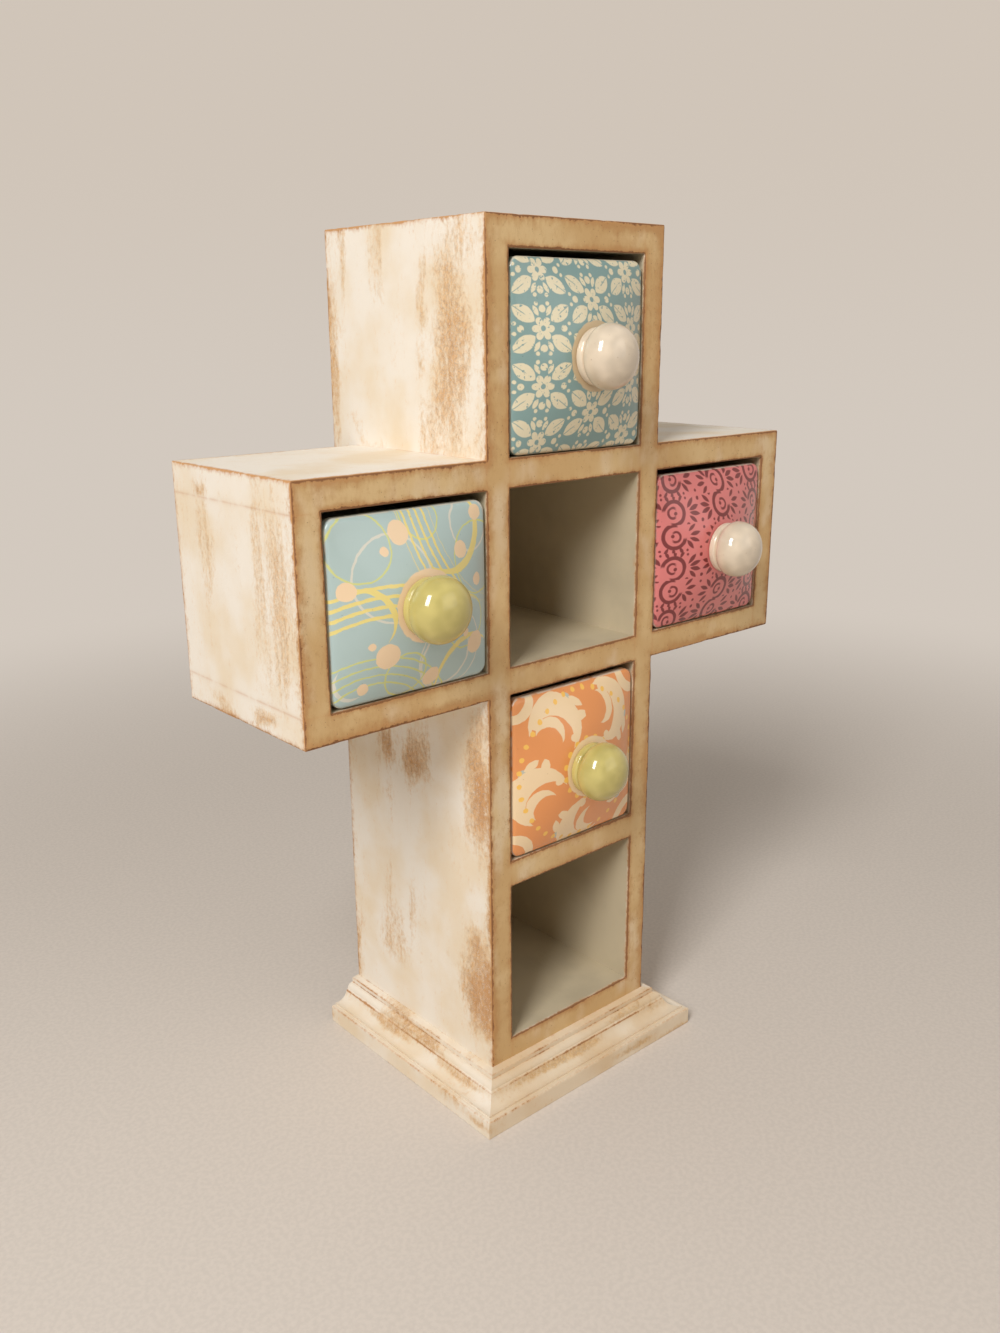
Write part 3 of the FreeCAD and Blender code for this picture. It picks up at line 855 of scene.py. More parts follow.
def arc_points(start, end, bulge, count):
    """Points on the circular arc from start to end whose middle stands off the chord by bulge, to the left
    of the way from start to end."""
    start, end = np.array(start, float), np.array(end, float)
    chord = end - start
    half = np.linalg.norm(chord) / 2
    left = np.array([-chord[1], chord[0]]) / (2 * half)
    radius = (half ** 2 + bulge ** 2) / (2 * abs(bulge))
    middle = (start + end) / 2 + left * (bulge - math.copysign(radius, bulge))
    first = math.atan2(*(start - middle)[::-1])
    sweep = 2 * math.asin(min(1, half / radius)) * (-1 if bulge > 0 else 1)
    turns = first + sweep * np.linspace(0, 1, count)
    return middle + radius * np.stack([np.cos(turns), np.sin(turns)], axis=1)


def moulding_section(settings, height):
    """Outline of the moulding as (reach, height) points from the wall's top down to its foot: fillet,
    quarter round, cove and square foot, and small arcs on the arrises. With it comes each point's wear,
    which dies away from the arrises."""
    reach = corners("plinth_right")[1][0] - COLUMN_HALF
    fillet_x, foot_z = settings.fillet_reach, settings.foot_height
    fillet_z = height - settings.fillet_slope
    step_z = fillet_z - settings.fillet_drop
    ovolo_x = fillet_x + settings.ovolo_reach
    ovolo_z = step_z - settings.ovolo_drop
    cove_start = (ovolo_x + settings.quirk, ovolo_z - settings.quirk)
    ledge_x = reach - settings.foot_ledge
    cove_end = (ledge_x, foot_z + settings.quirk)
    ovolo_bulge = settings.ovolo_reach * (1 - math.sqrt(0.5))
    small, ease = settings.edge_round, settings.foot_ease
    outline = np.concatenate([
        np.array([(0, 0), (0, height * 0.5), (0, height)]),
        np.linspace((fillet_x * 0.3, height - settings.fillet_slope * 0.3),
                    (fillet_x - small, fillet_z + 0.1 * settings.fillet_slope), 4),
        arc_points((fillet_x - small, fillet_z), (fillet_x, fillet_z - small), small * 0.3, 4),
        np.linspace((fillet_x, fillet_z - 2 * small), (fillet_x, step_z), 4),
        arc_points((fillet_x, step_z), (ovolo_x, ovolo_z), ovolo_bulge, 10)[1:],
        np.array([cove_start]),
        arc_points(cove_start, cove_end, -settings.cove_hollow, 14)[1:],
        np.linspace((ledge_x, foot_z), (reach - ease, foot_z), 4),
        arc_points((reach - ease, foot_z), (reach, foot_z - ease), ease * 0.29, 6)[1:],
        np.linspace((reach, foot_z - ease), (reach, 0.6 * small), 6)[1:],
        np.array([(reach - 0.6 * small, 0)]),
    ])
    arrises = ((0, height, 0.4), (fillet_x, fillet_z, 0.7), (fillet_x, step_z, 0.55),
               (*cove_start, 0.72), (*cove_end, 0.4), (reach, foot_z, 0.85), (reach, 0, 0.4))
    wear = np.max([amount * np.exp(-np.hypot(*(outline - (x, z)).T) / settings.line_reach)
                   for x, z, amount in arrises], axis=0)
    return outline, wear


def moulding_run(name, settings, paint, place, run_length, facing_front):
    """A length of moulding: its section carried along a straight path whose ends are cut by place, which
    turns (share of the run, reach, height) into points. Small dents deepen with the wear."""
    height = float(corners("plinth_front")[1][2])
    outline, wear = moulding_section(settings, height)
    turned = np.roll(outline, -1, axis=0) - np.roll(outline, 1, axis=0)
    outward = np.stack([-turned[:, 1], turned[:, 0]], axis=1)
    outward /= np.linalg.norm(outward, axis=1, keepdims=True)
    stations = np.linspace(0, 1, int(run_length / settings.spacing) + 1)
    share, reach = np.meshgrid(stations, outline[:, 0], indexing="ij")
    level = np.broadcast_to(outline[:, 1], share.shape)
    flat = place(share, reach, level).reshape(-1, 3)
    dents = smooth(lumps(flat, np.array([9, 9, 2]) * MM, 31), 0.62, 0.95)
    sunk = (settings.dents * dents * np.tile(wear, len(stations))).reshape(share.shape)
    moved_reach = np.clip(reach - np.abs(outward[:, 0]) * sunk, 0, None)
    moved_level = np.clip(level - np.clip(outward[:, 1], 0, 1) * sunk, 0, None)
    points = place(share, moved_reach, moved_level).reshape(-1, 3)
    around = len(outline)
    faces = [list(quad) for quad in ring_quads(len(stations), around)]
    faces.append(list(range(around))[::-1])
    faces.append(list(range((len(stations) - 1) * around, len(stations) * around)))
    patchy = lumps(flat, np.array([26, 26, 6]) * MM, 33)
    edge = np.tile(wear, len(stations)) * (0.75 + 0.6 * patchy)
    fields = {
        # How much of the front edges' ochre the run shows; that ochre is partly painted shade of the front faces
        "front": np.full(len(points), 0.5 if facing_front else 0.12),
        "inside": np.zeros(len(points)),
        "edge": edge,
        "halo": 0.4 * edge,
        "rub": 0.75 * smooth(lumps(flat, np.array([26, 26, 4]) * MM, 34), 0.40, 0.85),
        "seam": np.zeros(len(points)),
        "dark": np.zeros(len(points)),
    }
    return new_piece(name, points, faces, paint, fields, sharp_angle=35)


class TEAORGANIZER_OT_plinth(Operator):
    """Three runs of plinth moulding, mitred at the front corners"""
    bl_idname = "tea_organizer.plinth"
    bl_label = "Plinth Moulding"

    def execute(self, context):
        settings = context.scene.tea_organizer.plinth
        paint = bpy.data.materials.get("rubbed_paint")
        if paint is None:
            raise RuntimeError("make the carcass boards first, because the plinth wears their paint")
        reach = float(corners("plinth_right")[1][0]) - COLUMN_HALF

        def front_place(share, out, level):
            """Mitred at both ends: the run is longer where it stands out further."""
            return np.stack([(2 * share - 1) * (COLUMN_HALF + out), FRONT - out, level], axis=-1)

        def side_place(side):
            """Mitred at the front and square at the back. The run goes backwards on the right side and
            forwards on the left, so that its faces point outwards."""
            def place(share, out, level):
                backwards = share if side > 0 else 1 - share
                start = FRONT - out
                depth = start + backwards * (COLUMN_BACK - start)
                return np.stack([side * (COLUMN_HALF + out), depth, level], axis=-1)
            return place

        runs = [("plinth_front", front_place, 2 * (COLUMN_HALF + reach), True),
                ("plinth_right", side_place(1), COLUMN_BACK - FRONT + reach, False),
                ("plinth_left", side_place(-1), COLUMN_BACK - FRONT + reach, False)]
        for node, place, run_length, facing_front in runs:
            run = moulding_run(f"{node}_run", settings, paint, place, run_length, facing_front)
            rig.ride(run, "carcass")
            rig.replaces(run, node)
            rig.slot(run, "distressed_paint")
        return {"FINISHED"}


# Drawers

# Radius of the plain patch round each drawer's knob, in millimetres
PATCH_RADIUS = {"upper": 13.9, "left": 14.1, "right": 12.9, "lower": 13.8}


def soft_maximum(first, second, softness):
    """The larger of two values, raised by a parabola where they are nearly equal."""
    close = np.clip(softness - np.abs(first - second), 0, None) / softness
    return np.maximum(first, second) + close * close * softness / 4


def round_box_distance(offset, half, radius):
    """Distance to a box rounded by radius, from the offset to its middle, on any number of axes."""
    over = np.abs(offset) - (half - radius)
    outside = np.linalg.norm(np.clip(over, 0, None), axis=-1)
    return outside + np.clip(np.max(over, axis=-1), None, 0) - radius


def drawer_distance(points, low, high, settings):
    """Distance to the drawer's surface, negative in the clay: a rounded square drawn front to back with
    rounded ends, less a rounded hollow, less the space above the side walls, joined by soft maxima."""
    middle, half = (low + high) / 2, (high - low) / 2
    offset = points - middle
    outline = round_box_distance(offset[:, [0, 2]], half[[0, 2]], settings.corner_radius)
    ends = np.abs(offset[:, 1]) - half[1]
    rim = np.where(offset[:, 1] < 0, settings.front_edge, settings.back_edge)
    over = np.stack([outline + rim, ends + rim], axis=1)
    outer = np.linalg.norm(np.clip(over, 0, None), axis=1) + np.clip(np.max(over, axis=1), None, 0) - rim

    inner_low = low + np.array([settings.wall, settings.front_wall, settings.floor])
    inner_high = high - np.array([settings.wall, settings.wall, -3 * settings.corner_radius])
    inner_middle, inner_half = (inner_low + inner_high) / 2, (inner_high - inner_low) / 2
    hollow = round_box_distance(points - inner_middle, inner_half, settings.inner_radius)
    above = np.maximum(low[1] + settings.front_wall - points[:, 1],
                       high[2] - settings.rim_drop - points[:, 2])
    shell = soft_maximum(outer, -hollow, settings.soft_rim)
    return soft_maximum(shell, -above, settings.soft_rim)


def slope_of(distance, points):
    """Slope of a distance field, from two samples either side on each axis."""
    step = 0.02 * MM
    return np.stack([(distance(points + step * axis) - distance(points - step * axis)) / (2 * step)
                     for axis in np.eye(3)], axis=1)


def drawer_block(low, high, settings):
    """Lattice of a drawer with a flat front: its lines are close together in the walls and about the side
    walls' rim, and its cells are filled but for the hollow and the space above the side walls. Returns the
    skin's points and squares."""
    wall_share = np.array([0, 0.1, 0.24, 0.42, 0.62, 0.82, 1.0])
    beyond = np.array([0.8, 1.8, 3.2]) * MM
    near = 6  # how many of the steps keep within a wall
    side_steps, front_steps, floor_steps = (
        np.concatenate([thickness * wall_share, thickness + beyond])
        for thickness in (settings.wall, settings.front_wall, settings.floor))
    rim = high[2] - settings.rim_drop
    about_rim = rim + np.array([-3.2, -1.8, -0.9, -0.35, 0, 0.35, 0.9, 1.8]) * MM
    inner_low = low + np.array([settings.wall, settings.front_wall, settings.floor])
    inner_high = high - np.array([settings.wall, settings.wall, 0])
    lines = [graded(low[0], high[0], side_steps, settings.spacing),
             graded(low[1], high[1], side_steps[:near], settings.spacing,
                    (*(low[1] + front_steps), inner_high[1])),
             graded(low[2], high[2], floor_steps[:near], settings.spacing, (*about_rim, inner_low[2]))]
    x, y, z = cell_middles(lines)
    within = (x > inner_low[0]) & (x < inner_high[0]) & (y > inner_low[1]) & (y < inner_high[1])
    above = (y > inner_low[1]) & (z > rim)
    used, quads = block_skin(~(within & (z > inner_low[2]) | above))
    return np.stack([lines[axis][used[:, axis]] for axis in range(3)], axis=1), quads


def drawer_fields(points, normals, low, high, settings):
    """Glaze fields of a drawer: print on the front, liner in the hollow, lip where the glaze runs thin on an
    edge and where a painted highlight lines the rims, and bare clay underneath."""
    x, y, z = points.T
    depth, facing = y - low[1], -normals[:, 1]
    play = 0.6 * MM
    inside = smooth((depth - settings.front_wall * 0.7) / MM, 0, 1.2)
    inner = np.abs(x - (low[0] + high[0]) / 2) < (high[0] - low[0]) / 2 - settings.wall + play
    inner &= (z > low[2] + settings.floor - play) & (y < high[1] - settings.wall + play)
    turn = smooth(facing, 0.10, 0.35) * (1 - smooth(facing, 0.45, 0.75)) * (depth < 4 * MM)
    rims = smooth(normals[:, 2], 0.75, 0.98) * (z > high[2] - settings.rim_drop - 3 * MM)
    return {
        "print": smooth(facing, 0.02, 0.2) * (1 - smooth(depth, 2.6 * MM, 4.5 * MM)),
        "liner": inside * inner,
        "lip": np.clip(turn + 0.8 * rims, 0, 1),
        "bare": smooth(-normals[:, 2], 0.9, 0.99) * (z < low[2] + MM),
    }


def drawer_shell(name, settings, glaze):
    """The drawer: the skin of a hollow lattice, drawn onto the surface where the drawer's distance is zero.
    Each point moves down the slope of the distance until it reaches zero. Then the front swells forwards by
    one parabola across times one up, up to the knob's flat seat."""
    low, high = corners(f"{name}_drawer")
    low = low + np.array([0, settings.seat_rise, 0])
    points, quads = drawer_block(low, high, settings)

    def distance(places):
        return drawer_distance(places, low, high, settings)

    rounds, least_slope = 8, 0.2
    for _ in range(rounds):
        slope = slope_of(distance, points)
        steep = np.clip(np.sum(slope * slope, axis=1, keepdims=True), least_slope, None)
        points = points - slope * np.clip(distance(points)[:, None] / steep, -MM, MM)
    normals = slope_of(distance, points)
    normals /= np.linalg.norm(normals, axis=1, keepdims=True)
    points = points - normals * (settings.wobble * lumps(points - low, 17 * MM, 41))[:, None]
    fields = drawer_fields(points, normals, low, high, settings)

    share = (points - (low + high) / 2) / ((high - low) / 2)
    swell = settings.swell * np.prod(np.clip(1 - share[:, [0, 2]] ** 2, 0, 1), axis=1)
    ahead = 1 - smooth(points[:, 1] - low[1], 0.4 * settings.front_wall, 0.9 * settings.front_wall)
    points[:, 1] -= np.clip(swell, None, settings.seat_rise) * ahead
    return new_piece(f"{name}_drawer_shell", points, quads, glaze, fields, sharp_angle=60)


def glazed(make, settings, ground, printed):
    """Ends a glaze: the printed face over its ground, a paler line on the edges that is partly glaze run thin
    and partly a painted highlight, the liner inside, bare clay below, and a pooled, slightly wavy gloss."""
    pooled = make.ease(make.noise(24.0, detail=2, seed=9.0), 0.35, 0.70)
    waves = make.noise(5.0, detail=2)
    pits = make.ease(make.cells(4.6), 0.07, 0.03)
    bare = make.field("bare")
    face = make.mix(make.field("print"), make.mix(pooled, ground, darkened(ground, 0.86)), printed)
    # Pale line on the rims: partly glaze run thin, partly painted highlight
    face = make.over(face, settings.liner, make.field("lip"), make.ease(waves, 0.30, 0.52), 0.8)
    liner = make.mix(pooled, settings.liner, darkened(settings.liner, 0.9))
    face = make.mix(make.field("liner"), face, liner)
    clay = make.mix(make.ease(make.noise(1.1, detail=3), 0.4, 0.65), settings.clay,
                    darkened(settings.clay, 0.8))
    face = make.mix(bare, face, clay)
    face = make.over(face, darkened(ground, 0.5), pits, 0.35)
    roughness = make.plus(0.16, make.times(waves, 0.10), make.times(bare, 0.5))
    height = make.plus(waves, make.times(pits, -0.8))
    return make.surface(face, roughness, height, relief=0.10, Coat_Weight=0.35, Coat_Roughness=0.08)


def hand_drawn(make, amount):
    """Face coordinates shifted by noise of up to the amount, so that printed edges aren't ruler-straight."""
    shift_u, shift_v = (make.swing(make.noise(3.0, detail=2, seed=seed), 2 * amount) for seed in (21.0, 27.0))
    return make.plus(make.x, shift_u), make.plus(make.z, shift_v)


def repeat(make, value, pitch):
    """Coordinate within a repeat, from minus half a pitch to half a pitch."""
    return make.minus(make.calc("FLOORED_MODULO", make.plus(value, pitch / 2), pitch), pitch / 2)


def half_drop(make, scale, wide=17.0, tall=15.0):
    """Coordinates within a repeat of the given size, scaled up, whose every other column drops by half."""
    u, v = hand_drawn(make, 0.25)
    u, v = make.times(u, 1 / scale), make.times(v, 1 / scale)
    column = make.calc("FLOOR", make.calc("DIVIDE", make.plus(u, wide / 2), wide))
    drop = make.times(make.calc("FLOORED_MODULO", column, 2.0), tall / 2)
    return repeat(make, u, wide), repeat(make, make.plus(v, drop), tall)


def rosette_print(make):
    """Half-drop rosettes, each between four ribbed leaves, with berries and buds."""
    a, b = half_drop(make, 1.45)
    side, rise = make.calc("ABSOLUTE", a), make.calc("ABSOLUTE", b)
    angle = make.calc("ARCTAN2", b, a)
    petals = make.calc("ABSOLUTE", make.calc("COSINE", make.times(angle, 3.0)))
    petal_edge = make.plus(1.5, make.times(make.calc("POWER", petals, 0.6), 1.7))
    rosette = make.ease(make.minus(make.reach(a, b), petal_edge), MARK_SOFT, -MARK_SOFT)
    rosette = make.without(rosette, make.disc(a, b, 0.0, 0.0, 0.7))
    leaf_u, leaf_v, leaf_turn = 5.2, 3.9, 34
    leaf = make.leaf(side, rise, (leaf_u, leaf_v), 7.0, 4.0, leaf_turn)
    rib_turn = math.radians(leaf_turn)
    rib = make.minus(make.times(make.minus(rise, leaf_v), math.cos(rib_turn)),
                     make.times(make.minus(side, leaf_u), math.sin(rib_turn)))
    leaf = make.without(leaf, make.times(make.stroke(rib, 0.2), make.ease(side, 4.4, 5.4)))
    berries = make.either(make.disc(side, rise, 0.0, 5.1, 1.0), make.disc(side, rise, 1.7, 6.4, 0.55),
                          make.disc(side, rise, 6.1, 0.0, 0.9), make.disc(side, rise, 7.7, 1.3, 0.5))
    buds = make.leaf(side, rise, (1.9, 4.6), 3.0, 1.3, 62)
    return make.either(rosette, leaf, berries, buds)


def ripple_print(make):
    """Bundles of ring lines from centres off the face, loose hoops, filled moons and scattered dots. Returns
    the masks for yellow, lime, pale and peach."""
    u, v = hand_drawn(make, 0.5)

    def bundle(middle_u, middle_v, inner, outer, pitch, width, *fades):
        """Ring lines one pitch apart between two radii about a middle."""
        away = make.reach(u, v, middle_u, middle_v)
        band = make.times(make.ease(away, inner, inner + 1), make.ease(away, outer, outer - 1), *fades)
        return make.times(make.stroke(repeat(make, away, pitch), width), band)

    def rings(*each):
        return [make.ring(u, v, *ring) for ring in each]

    upper_bundle = bundle(46.0, 34.0, 37.0, 53.0, 3.1, 1.0, make.ease(v, -6.0, 3.0))
    left_bundle = bundle(-16.0, -48.0, 45.0, 60.0, 3.6, 1.3, make.ease(u, 10.0, -2.0))
    lower_bundle = bundle(-20.0, -58.0, 28.5, 42.5, 3.4, 0.7)
    moons = [make.crescent(u, v, (15.0, 27.0), 17.0, (12.6, 29.4), 17.0),
             make.crescent(u, v, (-26.0, -3.0), 13.0, (-28.0, -5.0), 13.4),
             make.crescent(u, v, (24.0, -30.0), 15.0, (25.6, -32.4), 15.4)]
    pale_moon = make.crescent(u, v, (-30.0, -26.0), 7.0, (-28.6, -24.8), 7.2)
    hoops = rings((22.0, -10.0, 10.5, 0.7), (-7.0, -26.0, 9.0, 0.75), (-25.0, 24.0, 12.5, 0.75),
                  (3.0, 33.0, 8.5, 0.7), (30.0, 14.0, 14.0, 0.7))
    pale_hoops = rings((-13.0, 12.0, 16.0, 0.9), (12.0, -22.0, 12.5, 1.0), (14.5, -20.5, 16.0, 0.6),
                       (27.0, 27.0, 10.0, 0.9))
    dots = [(-8.0, 28.0, 4.4), (-15.5, 22.0, 1.8), (-31.0, 9.0, 3.6), (-16.0, -17.0, 5.0),
            (-25.0, -29.0, 2.4), (-22.5, -12.5, 1.5), (6.0, -29.5, 3.9), (28.5, -20.0, 4.6),
            (22.0, -14.5, 1.6), (29.0, 5.5, 2.6), (20.0, 18.5, 3.4), (31.0, 31.0, 3.0)]
    yellow = make.either(upper_bundle, *moons, left_bundle)
    lime = make.either(lower_bundle, *hoops)
    pale = make.either(*pale_hoops, pale_moon)
    peach = make.either(*[make.disc(u, v, *dot) for dot in dots])
    return yellow, lime, pale, peach


def scroll_print(make):
    """Half-drop S-scrolls, the same turned half way round, with an eye in each curl, leaves and seeds
    about."""
    a, b = half_drop(make, 1.7)
    half = make.calc("SIGN", b)
    a, b = make.times(a, half), make.times(b, half)
    open_side = make.either(make.ease(a, -1.2, -0.4), make.ease(b, 3.4, 4.2))
    curl = make.times(make.ring(a, b, 0.0, 3.1, 3.1, 1.05), open_side)
    eye = make.either(make.times(make.ring(a, b, -0.3, 3.2, 1.35, 0.65), make.ease(a, 0.9, 0.1)),
                      make.disc(a, b, 0.5, 3.0, 0.5))
    # Each leaf's middle, length, width and turn in degrees, then each seed's middle and radius
    sprig = [(5.3, 5.6, 3.4, 1.2, 50), (6.4, 4.3, 3.4, 1.2, 20), (6.6, 2.8, 3.4, 1.2, -10),
             (5.9, 1.3, 3.0, 1.1, -40), (-4.6, 5.4, 3.2, 1.1, 130), (-5.9, 4.2, 3.2, 1.1, 160),
             (-6.2, 2.5, 3.2, 1.1, 190), (-5.2, 0.9, 2.8, 1.0, 220), (2.3, 7.1, 2.4, 0.9, 60),
             (0.2, 7.3, 2.2, 0.9, 95), (-2.0, 7.0, 2.4, 0.9, 120)]
    seeds = [(8.1, 6.6, 0.5), (4.2, 0.0, 0.5), (-7.9, 6.4, 0.4), (3.9, 6.9, 0.35), (-3.7, 6.9, 0.35)]
    return make.either(curl, eye,
                       *[make.leaf(a, b, (x, z), long, wide, turn) for x, z, long, wide, turn in sprig],
                       *[make.disc(a, b, *seed) for seed in seeds])


def pinwheel_print(make):
    """Scalloped crescents turned about the knob, rings of beads, and drops between the crescents. Returns the
    masks for cream, beads and grey-blue."""
    u, v = hand_drawn(make, 0.45)
    radius = make.reach(u, v)
    angle = make.calc("ARCTAN2", v, u)

    def by_ray(count, turn=0.0):
        """Coordinates along and across the nearest of count equal rays, turned back by an angle."""
        nearest = repeat(make, make.plus(angle, turn), 2 * math.pi / count)
        return [make.times(radius, make.calc(wave, nearest)) for wave in ("COSINE", "SINE")]

    a, b = (make.times(value, 1 / 1.12) for value in by_ray(5, 0.35))
    far_u, far_v = make.calc("ABSOLUTE", u), make.calc("ABSOLUTE", v)
    cream = make.either(
        make.crescent(a, b, (24.5, 1.0), 12.2, (20.9, 6.4), 10.0),
        make.crescent(a, b, (24.0, 5.0), 6.4, (21.8, 8.2), 6.2),
        make.disc(a, b, 17.0, -5.6, 2.3), make.disc(a, b, 15.2, -1.6, 1.6), make.disc(a, b, 31.5, 6.8, 3.2),
        make.leaf(a, b, (19.0, -9.5), 9.5, 3.8, 64), make.leaf(a, b, (23.6, -12.6), 7.0, 3.0, 20),
        make.crescent(far_u, far_v, (36.0, 36.0), 10.5, (38.0, 38.0), 8.6))
    beads = make.either(make.disc(*by_ray(15), 13.6, 0.0, 1.35), make.disc(*by_ray(36, 0.1), 34.6, 0.0, 1.15))
    drops = make.either(make.disc(a, b, 27.5, -10.2, 2.0), make.leaf(a, b, (25.0, -9.8), 8.0, 3.0, 8))
    return cream, beads, drops


def plain_patch(make, name):
    """Patch left plain round the knob, a little off the middle and uneven at its edge."""
    u, v = hand_drawn(make, 0.7)
    return make.disc(u, v, 0.9, 0.0, PATCH_RADIUS[name], soft=0.25)


def teal_glaze(settings):
    make = Finish("rosette_stoneware", middle_of("upper_drawer", 0))
    worn = make.ease(make.noise(1.3, detail=3, seed=33.0), 0.30, 0.42)
    printed = make.over(settings.teal, settings.teal_print, rosette_print(make), worn)
    printed = make.over(printed, settings.bare_patch, plain_patch(make, "upper"))
    return glazed(make, settings, tuple(settings.teal), printed)


def blue_glaze(settings):
    make = Finish("ripple_stoneware", middle_of("left_drawer", 0))
    yellow, lime, pale, peach = ripple_print(make)
    printed = make.over(settings.blue, settings.liner, pale, 0.75)
    printed = make.over(printed, settings.lime, lime, 0.85)
    printed = make.over(printed, settings.yellow, yellow, 0.9)
    printed = make.over(printed, settings.peach, peach)
    printed = make.over(printed, settings.peach, plain_patch(make, "left"))
    return glazed(make, settings, tuple(settings.blue), printed)


def coral_glaze(settings):
    make = Finish("scroll_stoneware", middle_of("right_drawer", 0))
    printed = make.over(settings.coral, settings.maroon, scroll_print(make), 0.92)
    printed = make.over(printed, settings.coral, plain_patch(make, "right"))
    return glazed(make, settings, tuple(settings.coral), printed)


def orange_glaze(settings):
    make = Finish("pinwheel_stoneware", middle_of("lower_drawer", 0))
    cream, beads, drops = pinwheel_print(make)
    printed = make.over(settings.orange, settings.grey_blue, drops)
    printed = make.over(printed, settings.orange_print, cream)
    printed = make.over(printed, settings.bead, beads)
    printed = make.over(printed, settings.orange_print, plain_patch(make, "lower"))
    return glazed(make, settings, tuple(settings.orange), printed)


class TEAORGANIZER_OT_drawers(Operator):
    """Four glazed stoneware drawers, each with its own generic print"""
    bl_idname = "tea_organizer.drawers"
    bl_label = "Stoneware Drawers"

    def execute(self, context):
        settings = context.scene.tea_organizer.drawers
        glazes = {"upper": (teal_glaze, "teal_glaze"), "left": (blue_glaze, "pale_blue_glaze"),
                  "right": (coral_glaze, "coral_glaze"), "lower": (orange_glaze, "orange_glaze")}
        for name, (glaze, slot) in glazes.items():
            shell = drawer_shell(name, settings, glaze(settings))
            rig.ride(shell, f"{name}_drawer_body")
            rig.replaces(shell, f"{name}_drawer")
            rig.slot(shell, slot)
        return {"FINISHED"}


# Knobs and their fixings

def knob_outline(settings, tip):
    """Knob's profile as (radius, height) from the middle of its seat to the tip: rounded collar, groove, and
    a head of a quarter ellipse and a squarer quarter dome."""
    quarter = np.linspace(0, math.pi / 2, 9)
    dome = np.linspace(0, math.pi / 2, 26)[1:-1]
    edge, groove = settings.collar_round, settings.groove_radius
    collar = settings.collar_radius - edge
    head_rise = settings.head_widest - settings.head_start
    power = 2 / settings.squareness
    across = np.linspace(0, collar, 8)[1:-1]
    groove_levels = np.linspace(settings.collar_length + 0.15 * MM, settings.head_start - 0.1 * MM, 3)
    pieces = [
        (across, 0 * across),
        (collar + edge * np.sin(quarter), edge * (1 - np.cos(quarter))),
        (collar + edge * np.cos(quarter), settings.collar_length - edge * (1 - np.sin(quarter))),
        (np.full(3, groove), groove_levels),
        (groove + (settings.head_radius - groove) * np.sin(quarter),
         settings.head_widest - head_rise * np.cos(quarter)),
        (settings.head_radius * np.cos(dome) ** power,
         settings.head_widest + (tip - settings.head_widest) * np.sin(dome) ** power),
    ]
    return np.concatenate([np.stack(piece, axis=1) for piece in pieces])


def turned_knob(name, settings, glaze):
    """Surface of revolution about the line from the knob's seat outwards, a little out of round: the radius
    shrinks by a small cosine of twice the angle."""
    centre_x, seat_y, centre_z = middle_of(f"{name}_knob", 1)
    tip = float(seat_y - corners(f"{name}_knob")[0][1])
    outline = knob_outline(settings, tip)
    around, count = settings.around, len(outline)
    angles = np.linspace(0, 2 * math.pi, around, endpoint=False)
    radius, angle = np.meshgrid(outline[:, 0], angles, indexing="ij")
    height = np.broadcast_to(outline[:, 1:2], radius.shape)
    phase = DRAWERS.index(name)
    uneven = 1 - settings.unevenness * (1 + np.cos(2 * angle + phase)) * smooth(height, 3 * MM, 10 * MM)
    x = centre_x + radius * uneven * np.cos(angle)
    z = centre_z + radius * uneven * np.sin(angle)
    rings = np.stack([x, seat_y - height, z], axis=-1).reshape(-1, 3)
    poles = np.array([(centre_x, seat_y, centre_z), (centre_x, seat_y - tip, centre_z)])
    points = np.concatenate([rings, poles])
    quads = ring_quads(count, around)[:, ::-1]
    step = np.arange(around)
    ahead = (step + 1) % around
    last = (count - 1) * around
    base = np.stack([step, ahead, np.full(around, len(rings))], axis=1)
    crown = np.stack([last + ahead, last + step, np.full(around, len(rings) + 1)], axis=1)
    faces = [*quads.tolist(), *base.tolist(), *crown.tolist()]
    return new_piece(f"{name}_knob_turned", points, faces, glaze)


def knob_glaze(name, tint, middle, speckled):
    """Glossy glaze, pooled unevenly and faintly ringed round the knob's axis, with small blisters and, on the
    cream knobs, iron specks."""
    make = Finish(name, middle)
    away = make.reach(make.x, make.z)
    wander = make.swing(make.noise(9.0, detail=2), 2.4)
    rings = make.calc("SINE", make.times(make.plus(away, wander), 1.4))
    pooled = make.ease(make.noise(11.0, detail=2, seed=4.0), 0.35, 0.65)
    bands = make.plus(make.times(pooled, 0.75), make.times(make.plus(rings, 1.0), 0.10))
    pale = tuple(min(1.0, value * 1.06 + 0.02) for value in tint)
    deep = darkened(tint, 0.86)
    iron = (0.32, 0.17, 0.07)
    glaze = make.mix(bands, deep, pale)
    if speckled:
        freckles = make.ease(make.cells(2.6), 0.11, 0.05)
        glaze = make.over(glaze, iron, freckles, make.ease(make.noise(5.0), 0.45, 0.60), 0.5)
    pinholes = make.ease(make.cells(6.5), 0.07, 0.02)
    glaze = make.over(glaze, deep, pinholes, 0.3)
    height = make.plus(make.times(make.noise(8.0, seed=6.0), 0.8), make.times(pinholes, 0.8))
    return make.surface(glaze, 0.12, height, relief=0.04, Coat_Weight=0.5, Coat_Roughness=0.05)


class TEAORGANIZER_OT_knobs(Operator):
    """Four turned and glazed knobs"""
    bl_idname = "tea_organizer.knobs"
    bl_label = "Knobs"

    def execute(self, context):
        settings = context.scene.tea_organizer.knobs
        for name in DRAWERS:
            cream = name in ("upper", "right")
            slot = "cream_knob_glaze" if cream else "lime_knob_glaze"
            tint = tuple(settings.cream if cream else settings.lime)
            glaze = knob_glaze(f"{name}_{slot}", tint, middle_of(f"{name}_knob", 1), cream)
            knob = turned_knob(name, settings, glaze)
            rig.ride(knob, f"{name}_drawer_body")
            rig.replaces(knob, f"{name}_knob")
            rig.slot(knob, slot)
        return {"FINISHED"}


